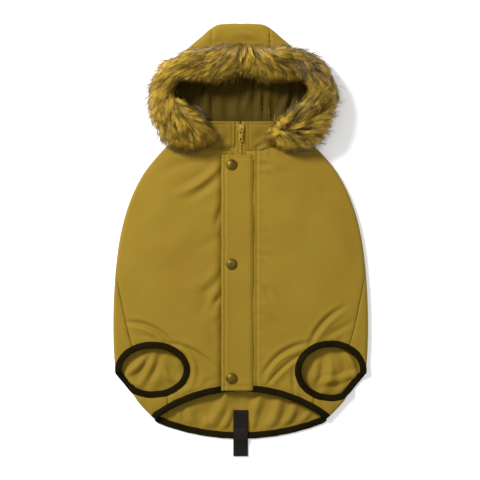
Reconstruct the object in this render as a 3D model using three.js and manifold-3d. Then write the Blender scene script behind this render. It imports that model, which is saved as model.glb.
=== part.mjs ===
// A hooded dog parka, zipped up and laid flat on its back, in millimetres.
// +Y runs from the hem to the hood and +Z is up from the surface that it lies on. Left and right are
// those of somebody who looks down on it: left is -X. The origin is on that surface, under the middle
// of the whole garment.
import * as THREE from "three";
import { mergeVertices } from "three/addons/utils/BufferGeometryUtils.js";
import Module from "manifold-3d";

const wasm = await Module();
wasm.setup();

// ---------------------------------------------------------------- driving dimensions

const wall = 2.4; // shell, light padding and lining together
const seamGap = 0.3; // between two pieces that are sewn together
const halfGap = seamGap / 2;
const foldRadius = 4.6; // outside radius of the cloth where the body turns round its sides
const quarterFold = (Math.PI / 2) * foldRadius;
const rowStep = 18; // between two cross-sections of the body

const garmentLength = 576;
const hoodTopY = garmentLength / 2;
const tabTipY = -garmentLength / 2;

// Cross-sections of the flat body: half its width, how high its middle stands, and how far the side
// seam lies from the side fold, measured over the cloth towards the front.
const bodySections = [
  { y: 156, halfWidth: 52, height: 13.4, seamArc: 0 },
  { y: 142, halfWidth: 77, height: 13.4, seamArc: 0 },
  { y: 129, halfWidth: 94.4, height: 13.3, seamArc: 0 },
  { y: 108, halfWidth: 114.5, height: 13.2, seamArc: 0 },
  { y: 86, halfWidth: 131, height: 13.4, seamArc: 0 },
  { y: 54, halfWidth: 146.7, height: 13.6, seamArc: 0 },
  { y: 14, halfWidth: 158.7, height: 13.8, seamArc: 0 },
  { y: -34, halfWidth: 166, height: 13.8, seamArc: 2 },
  { y: -90, halfWidth: 169.5, height: 13.6, seamArc: 15 },
  { y: -136, halfWidth: 169.5, height: 13.2, seamArc: 26 },
  { y: -168, halfWidth: 167.5, height: 12.8, seamArc: 36 },
  { y: -182, halfWidth: 165, height: 12.6, seamArc: 42 },
  { y: -192, halfWidth: 156, height: 12.4, seamArc: 45 },
  { y: -204, halfWidth: 144.5, height: 12.2, seamArc: 47 },
  { y: -217, halfWidth: 135.5, height: 12, seamArc: 41 },
  { y: -234, halfWidth: 119, height: 11.8, seamArc: 24 },
  { y: -280, halfWidth: 70, height: 11.6, seamArc: 10 },
];

// The largest folds of the front, from one end to the other: a ridge where rise is positive.
const frontFolds = [
  { x1: -30, y1: 95, x2: -82, y2: 62, spread: 9, rise: -1.6 },
  { x1: -148, y1: -104, x2: -104, y2: -120, spread: 9, rise: -1.8 },
  { x1: -98, y1: -124, x2: -38, y2: -164, spread: 8, rise: -1.8 },
  { x1: -86, y1: -112, x2: -36, y2: -146, spread: 12, rise: 1.4 },
  { x1: 136, y1: -88, x2: 92, y2: -134, spread: 9, rise: -2 },
  { x1: 118, y1: -78, x2: 74, y2: -128, spread: 12, rise: 1.4 },
  { x1: 72, y1: -150, x2: 36, y2: -190, spread: 8, rise: -1.6 },
];

const zip = {
  opening: 14, // between the two front edges
  chainWidth: 5.8,
  chainThickness: 2.4,
  tapeThickness: 1,
  chainStop: 8.3, // from the collar's top edge down to the end of the teeth
  bottomY: -188,
};

const flap = { left: -25.7, right: 18.1, top: 113.7, bottom: -200.5, lift: 0.8 };
const snapCap = { x: -12, fromTop: [13.4, 145.4, 297.4], radius: 7.5, height: 3.2 };

// Both hems are arcs: the front one is hollow, the back one is full.
const binding = { width: 9, thickness: 3.4, bevel: 1.1 };
const frontHem = { middleY: -196.8, radius: 195 };
const backHem = { middleY: -260.4, radius: 298 };
const hemCorner = { x: 113, foldDirection: [0.78, 0.62] };

// Each armhole is an oval in plan, flattened where its outer lower part lies on the back. Angles count
// from the parka's side (0) through the top of the armhole (90).
const armholes = [
  { side: -1, x: 117.3, y: -172.4, halfLength: 45.7, halfWidth: 33.1 },
  { side: 1, x: 119.9, y: -173.8, halfLength: 43.5, halfWidth: 36.1 },
];
const armholeLow = { from: 302, to: 338, ramp: 26, outward: [0.756, -0.654], reach: 238.5 };

const neck = { frontY: 118.5, sideY: 137.5, backY: 150, halfWidth: 84 };
const collar = { topY: 158.3, outer: 45, rise: 1.8 };

// The hood, as reaches from the point on the surface below the middle of its face opening to the edge
// of that opening and to the outer fold. Angles count from the parka's side (0) to the crown (90). The
// fur lies along the edge of the opening, furHalf to either side of it.
const hoodMiddle = { x: 0, y: 196 };
const hoodSections = [
  { angle: -90, edge: 72, edgeZ: 16.4, fold: 91, turn: 4.6, furHalf: 16, furHigh: 22 },
  { angle: -59, edge: 69, edgeZ: 16.4, fold: 100, turn: 4.6, furHalf: 19, furHigh: 24 },
  { angle: -43, edge: 77, edgeZ: 17.2, fold: 105, turn: 4.8, furHalf: 27, furHigh: 28 },
  { angle: -27, edge: 89, edgeZ: 18.4, fold: 101, turn: 6.5, furHalf: 30, furHigh: 30 },
  { angle: -11, edge: 101, edgeZ: 19.6, fold: 112, turn: 8, furHalf: 25, furHigh: 29 },
  { angle: 2, edge: 104, edgeZ: 20.6, fold: 114, turn: 8.5, furHalf: 21, furHigh: 28 },
  { angle: 15, edge: 98, edgeZ: 21.4, fold: 108, turn: 8.5, furHalf: 20, furHigh: 28 },
  { angle: 28, edge: 81, edgeZ: 22, fold: 96, turn: 8.5, furHalf: 22, furHigh: 28 },
  { angle: 45, edge: 54, edgeZ: 23, fold: 92, turn: 8.5, furHalf: 24, furHigh: 28 },
  { angle: 62, edge: 44.5, edgeZ: 23.8, fold: 95.6, turn: 8.5, furHalf: 25, furHigh: 28 },
  { angle: 76, edge: 41.5, edgeZ: 24, fold: 94, turn: 8.5, furHalf: 25.5, furHigh: 28 },
  { angle: 90, edge: 40.5, edgeZ: 24, fold: hoodTopY - hoodMiddle.y, turn: 8.5, furHalf: 26, furHigh: 28 },
];
const hoodStep = 7.5; // degrees between two sections of the hood
const hoodSeamX = 39; // the two seams of the centre panel
const furEndAngle = -61;

const tab = { halfWidth: 9.9, thickness: 2, sewnTopY: -226.3 };

// ---------------------------------------------------------------- plain mathematics

const radians = THREE.MathUtils.degToRad;
const clamp = THREE.MathUtils.clamp;
const smoothstep = THREE.MathUtils.smoothstep;

// A smooth curve through one column of a table, sorted by its key column.
function column(table, key, name) {
  const rows = [...table].sort((a, b) => a[key] - b[key]);
  const slope = rows.map((row, i) => {
    const before = rows[Math.max(i - 1, 0)];
    const after = rows[Math.min(i + 1, rows.length - 1)];
    return (after[name] - before[name]) / (after[key] - before[key]);
  });
  return (at) => {
    const k = clamp(at, rows[0][key], rows[rows.length - 1][key]);
    const i = clamp(rows.findIndex((row) => row[key] > k) - 1, 0, rows.length - 2);
    const last = k >= rows[rows.length - 1][key];
    const from = last ? rows.length - 2 : i;
    const span = rows[from + 1][key] - rows[from][key];
    const t = (k - rows[from][key]) / span;
    const a = rows[from][name];
    const b = rows[from + 1][name];
    return (
      a * (1 + 2 * t) * (1 - t) ** 2 +
      b * t * t * (3 - 2 * t) +
      span * (slope[from] * t * (1 - t) ** 2 - slope[from + 1] * t * t * (1 - t))
    );
  };
}

// n + 1 values from a to b.
const steps = (a, b, n) => Array.from({ length: n + 1 }, (_, i) => a + ((b - a) * i) / n);
// n angles all the way round, in degrees.
const around = (n) => steps(0, 360 - 360 / n, n - 1);

// ---------------------------------------------------------------- closed meshes

// A closed geometry as a solid that can be cut and joined.
function solidOf(geometry) {
  geometry.deleteAttribute("normal");
  geometry.deleteAttribute("uv");
  const merged = mergeVertices(geometry, 1e-4);
  const vertProperties = new Float32Array(merged.attributes.position.array);
  const triVerts = new Uint32Array(merged.index.array);
  return new wasm.Manifold(new wasm.Mesh({ numProp: 3, vertProperties, triVerts }));
}

function geometryOf(points, triangles) {
  const geometry = new THREE.BufferGeometry();
  geometry.setAttribute("position", new THREE.Float32BufferAttribute(points.flat(), 3));
  geometry.setIndex(triangles.flat());
  return geometry;
}

function solidFrom(points, triangles) {
  const made = solidOf(geometryOf(points, triangles));
  return made.volume() > 0 ? made : solidOf(geometryOf(points, triangles.map(([a, b, c]) => [a, c, b])));
}

// A wall of cloth between two grids of points, closed along its four edges.
function wallBetween(outer, inner) {
  const rows = outer.length;
  const columns = outer[0].length;
  const points = [...outer.flat(), ...inner.flat()];
  const out = (i, j) => i * columns + j;
  const inn = (i, j) => rows * columns + out(i, j);
  const triangles = [];
  const quad = (a, b, c, d) => triangles.push([a, b, c], [a, c, d]);
  for (let i = 0; i + 1 < rows; i++)
    for (let j = 0; j + 1 < columns; j++) {
      quad(out(i, j), out(i, j + 1), out(i + 1, j + 1), out(i + 1, j));
      quad(inn(i, j), inn(i + 1, j), inn(i + 1, j + 1), inn(i, j + 1));
    }
  for (let j = 0; j + 1 < columns; j++) {
    quad(out(0, j), inn(0, j), inn(0, j + 1), out(0, j + 1));
    quad(out(rows - 1, j), out(rows - 1, j + 1), inn(rows - 1, j + 1), inn(rows - 1, j));
  }
  for (let i = 0; i + 1 < rows; i++) {
    quad(out(i, 0), out(i + 1, 0), inn(i + 1, 0), inn(i, 0));
    quad(out(i, columns - 1), inn(i, columns - 1), inn(i + 1, columns - 1), out(i + 1, columns - 1));
  }
  return solidFrom(points, triangles);
}

// A solid through rings of points of the same count: closed on itself, or with two flat ends.
function throughRings(rings, closed) {
  const n = rings[0].length;
  const triangles = [];
  const last = closed ? rings.length : rings.length - 1;
  for (let i = 0; i < last; i++) {
    const next = (i + 1) % rings.length;
    for (let j = 0; j < n; j++) {
      const k = (j + 1) % n;
      triangles.push([i * n + j, i * n + k, next * n + k], [i * n + j, next * n + k, next * n + j]);
    }
  }
  if (!closed)
    for (let j = 1; j + 1 < n; j++) {
      const end = (rings.length - 1) * n;
      triangles.push([0, j + 1, j], [end, end + j, end + j + 1]);
    }
  return solidFrom(rings.flat(), triangles);
}

const shapeOf = (outline) => new THREE.Shape(outline.map(([x, y]) => new THREE.Vector2(x, y)));

// An upright prism over an outline in plan.
function prism(outline, low, high) {
  const geometry = new THREE.ExtrudeGeometry(shapeOf(outline), { depth: high - low, bevelEnabled: false });
  return solidOf(geometry.translate(0, 0, low));
}

// An outline in the plane of Y and Z, given a thickness along X.
function crosswise(outline, x0, x1) {
  const geometry = new THREE.ExtrudeGeometry(shapeOf(outline), { depth: x1 - x0, bevelEnabled: false });
  const [x, y, z] = [[1, 0, 0], [0, 1, 0], [0, 0, 1]].map((axis) => new THREE.Vector3(...axis));
  return solidOf(geometry.translate(0, 0, x0).applyMatrix4(new THREE.Matrix4().makeBasis(y, z, x)));
}

function block(x0, x1, y0, y1, z0, z1) {
  const geometry = new THREE.BoxGeometry(x1 - x0, y1 - y0, z1 - z0);
  return solidOf(geometry.translate((x0 + x1) / 2, (y0 + y1) / 2, (z0 + z1) / 2));
}

// A cut can leave crumbs beside the piece that is meant.
const largest = (solid) => solid.decompose().sort((a, b) => b.volume() - a.volume())[0];

// ---------------------------------------------------------------- the flat body's surface

const halfWidthAt = column(bodySections, "y", "halfWidth");
const heightAt = column(bodySections, "y", "height");
const seamArcAt = column(bodySections, "y", "seamArc");

// How much the folds lift the front at a place. They fade out towards the zip and the sides.
function foldLift(x, y) {
  const fromZip = smoothstep(Math.abs(x), 24, 40);
  const fromSide = smoothstep(halfWidthAt(y) - Math.abs(x), foldRadius, 28);
  let lift = 0;
  for (const fold of frontFolds) {
    const along = new THREE.Vector2(fold.x2 - fold.x1, fold.y2 - fold.y1);
    const to = new THREE.Vector2(x - fold.x1, y - fold.y1);
    const t = clamp(to.dot(along) / along.lengthSq(), 0, 1);
    const away = to.sub(along.multiplyScalar(t)).length();
    lift += fold.rise * Math.exp(-((away / fold.spread) ** 2)) * Math.sin(Math.PI * (0.15 + 0.7 * t));
  }
  return lift * fromZip * fromSide;
}

// The height of the front's outside face.
function frontTop(x, y) {
  const across = Math.min(Math.abs(x) / (halfWidthAt(y) - foldRadius), 1);
  const crown = (heightAt(y) - 2 * foldRadius) * (1 - across ** 4);
  return 2 * foldRadius + crown + foldLift(x, y);
}

// A point of the body's skin at a section. arc is the way over the cloth from the outermost point of
// the side fold, positive over the front and negative under the back; inset is the depth in the wall.
function bodyPoint(side, y, arc, inset) {
  const foldX = halfWidthAt(y) - foldRadius;
  if (Math.abs(arc) <= quarterFold) {
    const turn = arc / foldRadius;
    const r = foldRadius - inset;
    return [side * (foldX + r * Math.cos(turn)), y, foldRadius + r * Math.sin(turn)];
  }
  const x = side * (foldX + quarterFold - Math.abs(arc));
  return [x, y, arc > 0 ? frontTop(x, y) - inset : inset];
}

const arcAtX = (x, y) => quarterFold + halfWidthAt(y) - foldRadius - Math.abs(x);

const sectionRows = (low, high) => steps(low, high, Math.ceil((high - low) / rowStep));
const bodyRows = sectionRows(bodySections[bodySections.length - 1].y, bodySections[0].y);

// ---------------------------------------------------------------- edges that are cut

const edgeX = steps(-180, 180, 32);
const arcDrop = (x, radius) => radius - Math.sqrt(radius ** 2 - Math.min(Math.abs(x), radius - 1) ** 2);
const frontHemY = (x) => frontHem.middleY - arcDrop(x, frontHem.radius);
const backHemY = (x) => backHem.middleY + arcDrop(x, backHem.radius);
const sideShare = (x) => Math.min((x / neck.halfWidth) ** 2, 2);
const frontNeckY = (x) => neck.frontY + (neck.sideY - neck.frontY) * sideShare(x);
const backNeckY = (x) => neck.backY + (neck.sideY - neck.backY) * sideShare(x);

const beyond = (edgeY, farY, low, high) =>
  prism([...edgeX.map((x) => [x, edgeY(x)]), [180, farY], [-180, farY]], low, high);
const below = (edgeY, low, high) => beyond(edgeY, -400, low, high);
const above = (edgeY, low, high) => beyond(edgeY, 400, low, high);

const beyondHems = below(frontHemY, foldRadius, 60).add(below(backHemY, -5, 60));
const beyondNeck = above((x) => frontNeckY(x) - halfGap, foldRadius - halfGap, 60).add(
  above((x) => backNeckY(x) - halfGap, -5, foldRadius - halfGap),
);

function armholeAt(hole, angle, grow) {
  const x = hole.x + (hole.halfLength + grow) * Math.cos(radians(angle));
  const y = hole.y + (hole.halfWidth + grow) * Math.sin(radians(angle));
  const [outX, outY] = armholeLow.outward;
  const beyond = Math.max(outX * x + outY * y - armholeLow.reach - grow, 0);
  return [hole.side * (x - outX * beyond), y - outY * beyond];
}

// What the armhole takes away: the front over the whole oval, and everything outside its low part.
function armholeCut(hole) {
  const oval = around(32).map((angle) => armholeAt(hole, angle, 0));
  const { from, to } = armholeLow;
  const inner = steps(from - 6, to + 12, 10).map((angle) => armholeAt(hole, angle, 0));
  const outer = steps(to + 12, from - 6, 10).map((angle) => armholeAt(hole, angle, 22));
  return prism(oval, wall + 0.8, 60).add(prism([...inner, ...outer], -5, 60));
}

// ---------------------------------------------------------------- bindings

// A flat band with its edges taken off, across a direction and a thickness.
function bandRing({ centre, across, up }, grow) {
  const w = binding.width / 2 + grow;
  const h = binding.thickness / 2 + grow;
  const c = binding.bevel;
  const half = [[-w, -h + c], [-w + c, -h], [w - c, -h], [w, -h + c]];
  const outline = [...half, ...half.map(([a, b]) => [-a, -b])];
  return outline.map(([a, b]) => centre.clone().addScaledVector(across, a).addScaledVector(up, b).toArray());
}

const vertical = new THREE.Vector3(0, 0, 1);
const inPlan = (x, y) => new THREE.Vector3(x, y, 0).normalize();
const frontMiddleZ = (x, y) => frontTop(x, y) - wall / 2;
const backMiddleZ = binding.thickness / 2;

function armholeBinding(hole, grow) {
  const { from, to, ramp } = armholeLow;
  const stations = around(32).map((angle) => {
    const [x, y] = armholeAt(hole, angle, 0);
    const [outX, outY] = armholeAt(hole, angle, 1);
    const down = smoothstep(angle, from - ramp, from) * (1 - smoothstep(angle, to, to + ramp));
    const high = frontMiddleZ(x, y);
    const centre = new THREE.Vector3(x, y, high + (backMiddleZ - high) * down);
    return { centre, across: inPlan(outX - x, outY - y), up: vertical };
  });
  return throughRings(stations.map((station) => bandRing(station, grow)), true);
}

// The hem's binding starts beside the zip, turns round the side fold and follows the back.
function hemBinding(grow) {
  const arcNormal = (x, radius, sense) => inPlan(sense * (x / radius), Math.sqrt(1 - (x / radius) ** 2));
  const front = (side) => {
    const run = steps(zip.opening / 2 + seamGap - grow, hemCorner.x, 10).map((x) => ({
      centre: new THREE.Vector3(side * x, frontHemY(x), frontMiddleZ(x, frontHemY(x))),
      across: arcNormal(side * x, frontHem.radius, 1),
      up: vertical,
    }));
    const [alongX, alongY] = hemCorner.foldDirection;
    const outward = inPlan(side * alongY, -alongX);
    const top = run[run.length - 1].centre;
    const r = (top.z - backMiddleZ) / 2;
    const turn = steps(60, -90, 5).map((angle) => {
      const up = outward.clone().multiplyScalar(Math.cos(radians(angle)));
      up.addScaledVector(vertical, Math.sin(radians(angle)));
      const centre = top.clone().addScaledVector(vertical, -r).addScaledVector(up, r);
      return { centre, across: inPlan(side * alongX, alongY), up };
    });
    const last = turn[turn.length - 1];
    const end = { ...last, centre: last.centre.clone().addScaledVector(outward, -1 - grow) };
    return throughRings([...run, ...turn, end].map((station) => bandRing(station, grow)), false);
  };
  const reach = hemCorner.x + 1 + grow;
  const back = steps(-reach, reach, 16).map((x) => ({
    centre: new THREE.Vector3(x, backHemY(x), backMiddleZ),
    across: arcNormal(x, backHem.radius, -1),
    up: vertical,
  }));
  return front(-1).add(throughRings(back.map((station) => bandRing(station, grow)), false)).add(front(1));
}

const joined = (solids) => solids.reduce((all, solid) => all.add(solid));
const armholeRooms = armholes.flatMap((hole) => [armholeCut(hole), armholeBinding(hole, seamGap)]);
const bodyCut = joined([beyondHems, beyondNeck, hemBinding(seamGap), ...armholeRooms]);

// ---------------------------------------------------------------- body panels

function frontPanel(side) {
  const grid = (inset) =>
    bodyRows.map((y) => {
      const seam = seamArcAt(y) + halfGap;
      const crest = Math.max(seam + 0.3, quarterFold);
      const arcs = [...steps(seam, crest, 3), ...steps(crest, arcAtX(zip.opening / 2, y), 9).slice(1)];
      return arcs.map((arc) => bodyPoint(side, y, arc, inset));
    });
  return largest(wallBetween(grid(0), grid(wall)).subtract(bodyCut));
}

function backPanel() {
  const grid = (inset) =>
    bodyRows.map((y) => {
      const seam = seamArcAt(y) - halfGap;
      const crest = Math.min(seam - 0.3, quarterFold);
      const arcs = [
        ...steps(seam, crest, 3),
        ...steps(crest, -quarterFold, 5).slice(1),
        ...steps(-quarterFold, -arcAtX(0, y), 4).slice(1),
      ];
      const half = (side) => arcs.map((arc) => bodyPoint(side, y, arc, inset));
      return [...half(-1), ...half(1).reverse().slice(1)];
    });
  return largest(wallBetween(grid(0), grid(wall)).subtract(bodyCut));
}

// ---------------------------------------------------------------- collar, zip and flap

// The height of the cloth along the middle of the front, up over the collar.
const collarRise = (y) => collar.rise * smoothstep(y, neck.frontY, collar.topY);
const middleTop = (y) => frontTop(0, Math.min(y, neck.frontY)) + collarRise(y);

function collarHalf(side) {
  const columns = steps(zip.opening / 2, collar.outer, 5);
  const grid = (inset) =>
    steps(0, 1, 4).map((share) =>
      columns.map((x) => {
        const low = frontNeckY(x) + halfGap;
        const y = low + (collar.topY - low) * share;
        return [side * x, y, middleTop(y) - inset];
      }),
    );
  return wallBetween(grid(0), grid(wall));
}

// A strip up the middle of the front, from one depth in the wall to another.
function middleStrip(x0, x1, y0, y1, depth, thickness) {
  const grid = (inset) => sectionRows(y0, y1).map((y) => [x0, x1].map((x) => [x, y, middleTop(y) - inset]));
  return wallBetween(grid(depth - thickness / 2), grid(depth + thickness / 2));
}

const zipDepth = wall / 2;
const chainHalf = zip.chainWidth / 2;
const chainTopY = collar.topY - zip.chainStop;

function zipTape(side) {
  const inner = side * (chainHalf + seamGap);
  const outer = side * (zip.opening / 2 - seamGap);
  return middleStrip(inner, outer, zip.bottomY, collar.topY, zipDepth, zip.tapeThickness);
}

const zipChain = () =>
  middleStrip(-chainHalf, chainHalf, zip.bottomY, chainTopY, zipDepth, zip.chainThickness);

// The flap is sewn on along its right edge and lies over the zip, clear of the hem's binding.
const flapTop = (y) => frontTop(0, y) + flap.lift + wall;

function flapPiece() {
  const columns = steps(flap.left, flap.right, 3);
  const grid = (inset) =>
    sectionRows(flap.bottom, flap.top).map((y) => columns.map((x) => [x, y, flapTop(y) - inset]));
  return wallBetween(grid(0), grid(wall));
}

// ---------------------------------------------------------------- hood and fur trim

const hoodColumn = (name) => {
  const curve = column(hoodSections, "angle", name);
  return (angle) => curve(Math.abs(angle) <= 90 ? angle : Math.sign(angle) * 180 - angle);
};
const edgeReachAt = hoodColumn("edge");
const edgeHeightAt = hoodColumn("edgeZ");
const foldReachAt = hoodColumn("fold");
const hoodFoldAt = hoodColumn("turn");
const furHalfAt = hoodColumn("furHalf");
const furHeightAt = hoodColumn("furHigh");

const hoodPlace = (angle, reach, z) => [
  hoodMiddle.x + reach * Math.cos(radians(angle)),
  hoodMiddle.y + reach * Math.sin(radians(angle)),
  z,
];

// One section of the hood's skin, from the edge of the face opening round the fold to the middle below.
function hoodSection(angle, inset) {
  const edge = edgeReachAt(angle);
  const edgeZ = edgeHeightAt(angle);
  const r = hoodFoldAt(angle);
  const foldFrom = foldReachAt(angle) - r;
  const slope = steps(0, 1, 3)
    .slice(0, -1)
    .map((t) => [edge + (foldFrom - edge) * t, edgeZ + (2 * r - edgeZ) * smoothstep(t, 0, 1) - inset]);
  const turn = steps(90, -90, 6).map((a) => [
    foldFrom + (r - inset) * Math.cos(radians(a)),
    r + (r - inset) * Math.sin(radians(a)),
  ]);
  const floor = [[foldFrom * 0.5, inset]];
  return [...slope, ...turn, ...floor].map(([reach, z]) => hoodPlace(angle, reach, z));
}

function hoodShell() {
  const angles = steps(-90, 270 - hoodStep, 360 / hoodStep - 1);
  const sections = [0, wall].map((inset) => angles.map((angle) => hoodSection(angle, inset)));
  const n = angles.length;
  const m = sections[0][0].length;
  const points = [...sections.flat(2), hoodPlace(0, 0, 0), hoodPlace(0, 0, wall)];
  const at = (layer, i, j) => layer * n * m + (i % n) * m + j;
  const middle = [2 * n * m, 2 * n * m + 1];
  const triangles = [];
  const quad = (a, b, c, d) => triangles.push([a, b, c], [a, c, d]);
  for (let i = 0; i < n; i++) {
    for (let j = 0; j + 1 < m; j++) {
      quad(at(0, i, j), at(0, i, j + 1), at(0, i + 1, j + 1), at(0, i + 1, j));
      quad(at(1, i, j), at(1, i + 1, j), at(1, i + 1, j + 1), at(1, i, j + 1));
    }
    triangles.push([at(0, i, m - 1), middle[0], at(0, i + 1, m - 1)]);
    triangles.push([at(1, i, m - 1), at(1, i + 1, m - 1), middle[1]]);
    quad(at(0, i, 0), at(0, i + 1, 0), at(1, i + 1, 0), at(1, i, 0));
  }
  const frontEdge = below((x) => frontNeckY(x) + halfGap, foldRadius + halfGap, 60);
  const backEdge = below((x) => backNeckY(x) + halfGap, -5, foldRadius + halfGap);
  const outer = collar.outer + seamGap;
  const collarRoom = block(-outer, outer, 90, 175, 8, 60);
  return solidFrom(points, triangles).subtract(frontEdge).subtract(backEdge).subtract(collarRoom);
}

// The fur is a plain solid of its reach: round above, flat where it is sewn on.
function furTrim() {
  const angles = steps(furEndAngle, 180 - furEndAngle, 40);
  const bottomZ = (angle) => edgeHeightAt(angle) + seamGap;
  const place = (angle) => new THREE.Vector3(...hoodPlace(angle, edgeReachAt(angle), bottomZ(angle)));
  const rings = angles.map((angle) => {
    const centre = place(angle);
    const along = place(angle + 1).sub(place(angle - 1)).setZ(0).normalize();
    const across = new THREE.Vector3(along.y, -along.x, 0);
    const fromEnd = Math.min(angle - furEndAngle, 180 - furEndAngle - angle);
    const full = 0.55 + 0.45 * smoothstep(fromEnd, 0, 14);
    const half = furHalfAt(angle) * full;
    const high = furHeightAt(angle) * full;
    return steps(0, 180, 8).map((a) =>
      centre
        .clone()
        .addScaledVector(across, half * Math.cos(radians(a)))
        .setZ(centre.z + high * Math.sin(radians(a)) ** 0.8)
        .toArray(),
    );
  });
  return throughRings(rings, false);
}

// ---------------------------------------------------------------- hem tab, snap caps, slider and pull

function hemTab() {
  const over = binding.thickness + seamGap;
  const hemInner = backHem.middleY + binding.width / 2 + seamGap;
  const hemOuter = backHem.middleY - binding.width / 2 - seamGap;
  const path = [
    [tab.sewnTopY, wall + seamGap],
    [hemInner + 6, wall + seamGap],
    [hemInner, over],
    [hemOuter, over],
    [hemOuter - 7, 0.2],
    [tabTipY, 0],
  ];
  const edges = [-tab.halfWidth, tab.halfWidth];
  const grid = (height) => path.map(([y, z]) => edges.map((x) => [x, y, z + height]));
  return wallBetween(grid(tab.thickness), grid(0));
}

function snapCapGeometry() {
  const { radius, height } = snapCap;
  const edge = height * 0.3;
  const dome = steps(0, 90, 3).map((a) => [
    (radius - 0.5) * Math.cos(radians(a)),
    edge + (height - edge) * Math.sin(radians(a)),
  ]);
  const profile = [[0, 0], [radius - 0.3, 0], [radius, edge * 0.5], ...dome.slice(0, -1), [0, height]];
  return new THREE.LatheGeometry(profile.map(([r, z]) => new THREE.Vector2(r, z)), 20).rotateX(Math.PI / 2);
}

function snapCapPlace(fromTop) {
  const y = flap.top - fromTop;
  const seat = Math.max(flapTop(y - snapCap.radius), flapTop(y), flapTop(y + snapCap.radius));
  return [snapCap.x, y, seat + seamGap];
}

// The slider is two plates round the teeth, joined by a wedge, with a bridge along its top for the pull.
const slider = { length: 11, width: 9, thickness: 5.6, top: 3.8, play: 0.6 };
const bridge = { halfWidth: 0.8, inner: 1.6, outer: 2.7, fromTop: 6, rise: 1.3 };
const pull = {
  bar: 0.7,
  cheekFrom: 1.2,
  halfWidth: 2.9,
  plateFrom: 3.3,
  length: 18,
  thickness: 1.2,
  hole: 1.2,
  tilt: 5,
};

const sliderTopY = collar.topY - slider.top;
const pivotY = sliderTopY - bridge.fromTop;
const sliderZ = middleTop(pivotY) - zipDepth;
const sliderTopZ = sliderZ + slider.thickness / 2;
const pivotZ = sliderTopZ + bridge.rise;

const arc = (radius, from, to, n) =>
  steps(from, to, n).map((a) => [radius * Math.cos(radians(a)), radius * Math.sin(radians(a))]);

// Both are made about the pull's pivot.
function sliderPiece() {
  const { length, width, thickness, play } = slider;
  const endY = sliderTopY - pivotY;
  const middleZ = -bridge.rise - thickness / 2;
  const half = width / 2;
  const shape = [[half - 1.2, 0], [half, 0.55], [half - 0.6, 0.86], [half - 2.6, 1]];
  const right = shape.map(([x, share]) => [x, endY - length + length * share]);
  const outline = [...right, ...right.map(([x, y]) => [-x, y]).reverse()];
  const body = prism(outline, middleZ - thickness / 2, middleZ + thickness / 2);
  const room = (x, high) => block(-x, x, endY - length - 1, endY + 1, middleZ - high, middleZ + high);
  const chainRoom = room(chainHalf + play, zip.chainThickness / 2 + play);
  const tapeRoom = room(width, zip.tapeThickness / 2 + play);
  const wedge = block(-1.1, 1.1, chainTopY + 0.6 - pivotY, endY - 0.4, middleZ - 2, middleZ + 2);
  const foot = -bridge.rise - 0.3;
  const archOutline = (radius) => [[radius, foot], ...arc(radius, 0, 180, 6), [-radius, foot]];
  const arch = crosswise(archOutline(bridge.outer), -bridge.halfWidth, bridge.halfWidth);
  const gap = crosswise(archOutline(bridge.inner), -2, 2);
  return body.subtract(chainRoom).subtract(tapeRoom).add(wedge).add(arch.subtract(gap));
}

// The pull's bar runs through the bridge; two cheeks carry a plate with a hole near its round tip.
function pullPiece() {
  const { cheekFrom, halfWidth, plateFrom, length } = pull;
  const h = pull.thickness / 2;
  const bar = crosswise(arc(pull.bar, 0, 330, 11), -halfWidth, halfWidth);
  const cheek = (x) => block(x, x + halfWidth - cheekFrom, -plateFrom - 0.5, 0.9, -h, h);
  const tip = arc(halfWidth, 180, 360, 8).map(([x, y]) => [x, y - length + halfWidth]);
  const plate = prism([[halfWidth, -plateFrom], [-halfWidth, -plateFrom], ...tip], -h, h);
  const hole = prism(arc(pull.hole, 0, 330, 11).map(([x, y]) => [x, y - length + 3.4]), -3, 3);
  return joined([bar, plate, cheek(-halfWidth), cheek(cheekFrom)]).subtract(hole);
}

// ---------------------------------------------------------------- materials and the group

const finish = (color, roughness, metalness = 0) =>
  new THREE.MeshStandardMaterial({ color, roughness, metalness });
const shellCloth = finish(0xa08028, 0.62);
const bindingCloth = finish(0x1c1610, 0.85);
const webbing = finish(0x201c1c, 0.8);
const fur = finish(0x9c7c22, 0.95);
const zipTapeCloth = finish(0x95772a, 0.8);
const zipTeeth = finish(0xb08c2c, 0.45, 0.4);
const zipMetal = finish(0x9a7c34, 0.4, 0.7);
const agedBrass = finish(0x7c6030, 0.35, 0.9);

const parka = new THREE.Group();

function addPiece(name, shape, material) {
  const solid = shape.isBufferGeometry ? null : shape.getMesh();
  const geometry = solid ? geometryOf([...solid.vertProperties], [...solid.triVerts]) : shape;
  geometry.computeVertexNormals();
  const mesh = new THREE.Mesh(geometry, material);
  mesh.name = name;
  parka.add(mesh);
  return mesh;
}

addPiece("back", backPanel(), shellCloth);
addPiece("front_left", frontPanel(-1), shellCloth);
addPiece("front_right", frontPanel(1), shellCloth);
addPiece("front_flap", flapPiece(), shellCloth);
addPiece("collar_left", collarHalf(-1), shellCloth);
addPiece("collar_right", collarHalf(1), shellCloth);

const hood = hoodShell();
const hoodBetween = (x0, x1) => largest(hood.intersect(block(x0, x1, 80, 330, -5, 60)));
addPiece("hood_left", hoodBetween(-200, -hoodSeamX - halfGap), shellCloth);
addPiece("hood_centre", hoodBetween(-hoodSeamX + halfGap, hoodSeamX - halfGap), shellCloth);
addPiece("hood_right", hoodBetween(hoodSeamX + halfGap, 200), shellCloth);
addPiece("fur_trim", furTrim(), fur);

addPiece("hem_binding", hemBinding(0), bindingCloth);
addPiece("armhole_binding_left", armholeBinding(armholes[0], 0), bindingCloth);
addPiece("armhole_binding_right", armholeBinding(armholes[1], 0), bindingCloth);
addPiece("hem_tab", hemTab(), webbing);

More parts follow.
